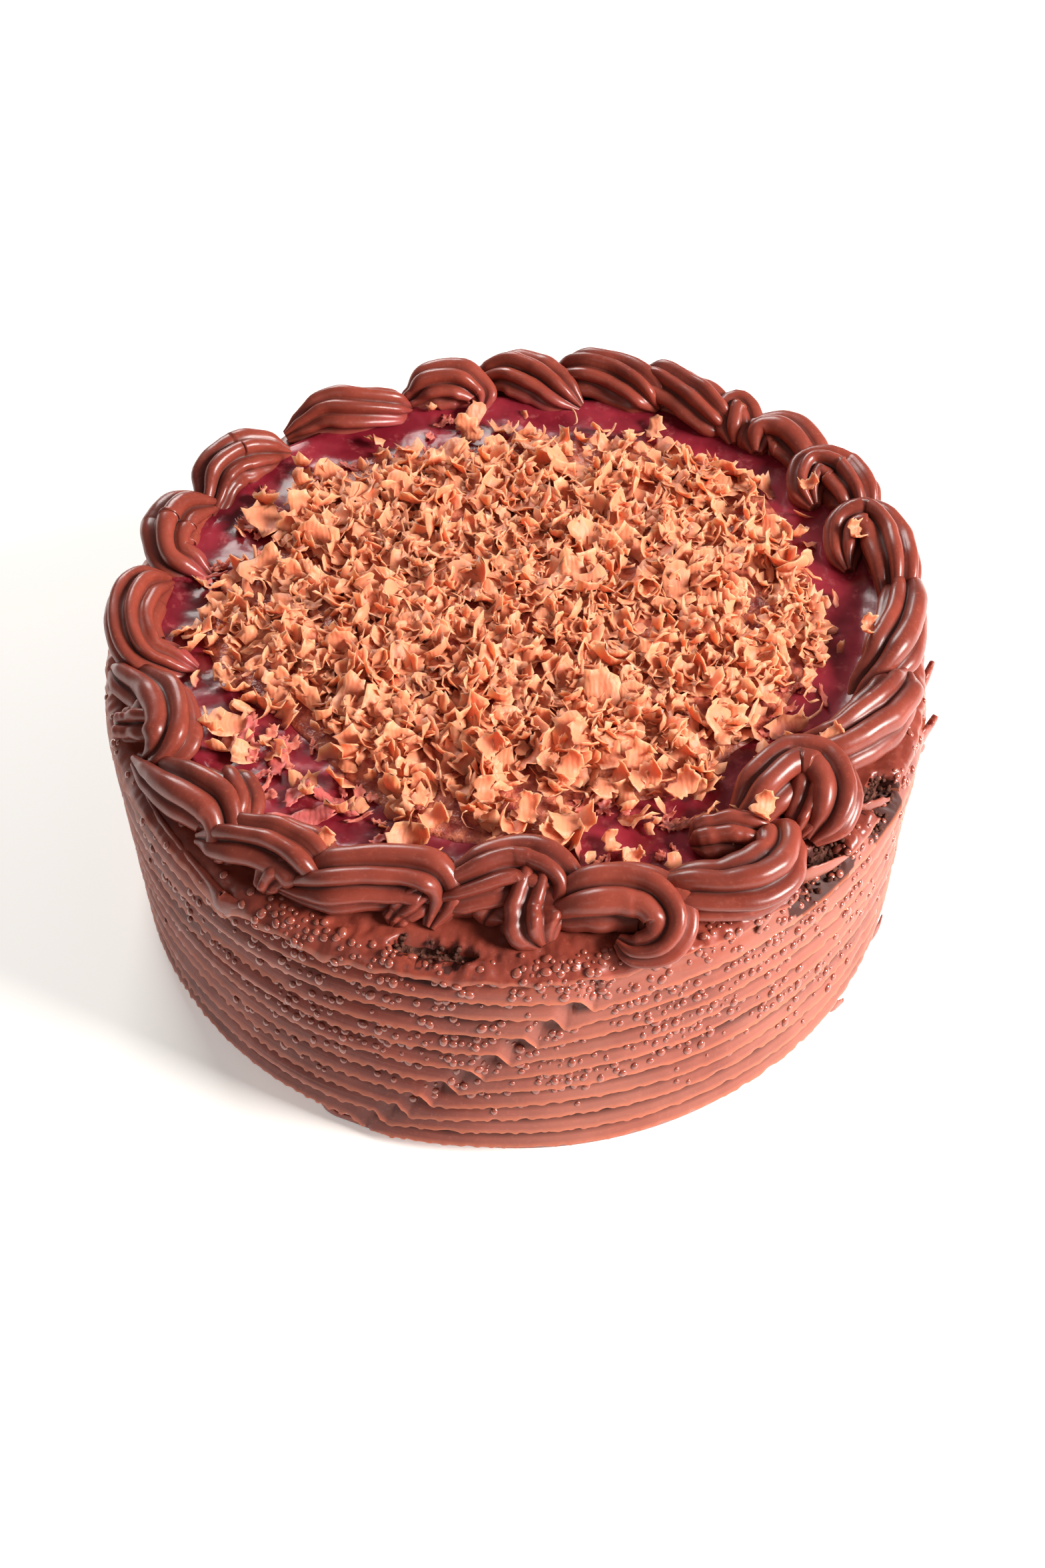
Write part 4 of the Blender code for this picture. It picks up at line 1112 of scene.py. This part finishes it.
dewPlan = {
    "least": 0.25, "lowest": 9 * mm, "patch": 14 * mm, "fade": (14 * mm, 44 * mm),
    "dense": ((300, 36, 1), (245, 28, 0.6)),  # bearing, half width in degrees, share
}


def dewCover(place):
    bearing, radius = bearingOf(place), math.hypot(place.x, place.y)
    if radius < wallRadius - 4 * mm or place.z < dewPlan["lowest"]:
        return 0.0
    side = sum(share * math.exp(-((bearing - middle) / half) ** 2)
               for middle, half, share in dewPlan["dense"])
    patches = smoothStep(-0.2, 0.35, noise.noise(Vector(place) / dewPlan["patch"]))
    return min(1, dewPlan["least"] + side) * (0.35 + 0.65 * patches) * smoothStep(*dewPlan["fade"], place.z)


def crumbCover(place):
    radius = math.hypot(place.x, place.y)
    return 1.0 if bareShare(bearingOf(place), radius + 0.8 * mm, place.z + 0.8 * mm) > 0.5 else 0.0


def copyOf(pieces):
    body = bmesh.new()
    for piece in pieces:
        body.from_mesh(piece.data)
    mesh = bpy.data.meshes.new("copy")
    body.to_mesh(mesh)
    body.free()
    return mesh


print("stage: camera, light and floor")
placeCamera(cameraPlan)
placeLights(lightPlan, worldLook)
placeFloor(floorPlan)

print("stage: frosting")
combedFrosting = frostingMaterial("combedFrosting", frostingLook, combed=True)
smoothFrosting = frostingMaterial("smoothFrosting", frostingLook)
walls = buildWall(combPlan, combedFrosting)
cream = buildCream(creamPlan, smoothFrosting)
tongueMeshes = [tongueMesh(tonguePlan, f"tongue{number}", knots) for number, knots in enumerate(tongueKnots)]
tongues = joinPieces("looseTongues", tongueMeshes, combedFrosting)
frosting = [*walls, cream, tongues]

print("stage: dew and crumbs")
sugarDew, darkCrumb = dewMaterial(dewLook), crumbMaterial(crumbLook)
dew = runTree("frostingDew", carrierFor("dew", copyOf([*walls, cream]), dewCover),
              scatterTree("dew", sugarDew, facets=2), scatterPlans["dew"], sugarDew)
bareCrumbs = runTree("bareCrumbs", carrierFor("crumbs", copyOf([walls[1], cream]), crumbCover),
                     scatterTree("crumbs", darkCrumb, facets=1), scatterPlans["crumbs"], darkCrumb)

print("stage: piped border")
pipedFrosting = frostingMaterial("pipedFrosting", frostingLook, **pipingLook)
border = runTree("pipedShells", shellCurves(pipingPlan), pipingTree(pipedFrosting), pipingPlan, pipedFrosting)

print("stage: jelly")
jelly = buildJelly(jellyPlan, jellyMaterial(jellyLook))

print("stage: shavings")
milkChocolate = chocolateMaterial("milkChocolate", chocolateLook)
core = joinPieces("heapCore", [discMesh("heapCore", heapPlan, heapTable)], heapCoreMaterial(heapCoreLook))
flakes = [buildFlakes(kind, milkChocolate) for kind in flakeKinds]
shavings = [core, *flakes, buildLaidChips(chipPlan, milkChocolate)]

print("stage: sponge")
sponge = frame["nodes"]["sponge"]
sponge.data.materials.clear()
sponge.data.materials.append(darkCrumb)

print("stage: bodies")
for pieces, slotName, node in ((frosting, "frosting", "frosting"), ([dew], "frosting", None),
                               ([bareCrumbs], "sponge", None), ([border], "piping", "piped_border"),
                               ([jelly], "jelly", "jelly_glaze"), (shavings, "shavings", "shavings")):
    for piece in pieces:
        for vertex in piece.data.vertices:  # nothing stands over the frame's own height
            vertex.co.z = min(vertex.co.z, cadBox[1][2] - 0.1 * mm)
        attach(piece, "root")
        if node:
            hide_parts(node)
        print(piece.name, sum(len(p.vertices) - 2 for p in piece.data.polygons), "triangles")
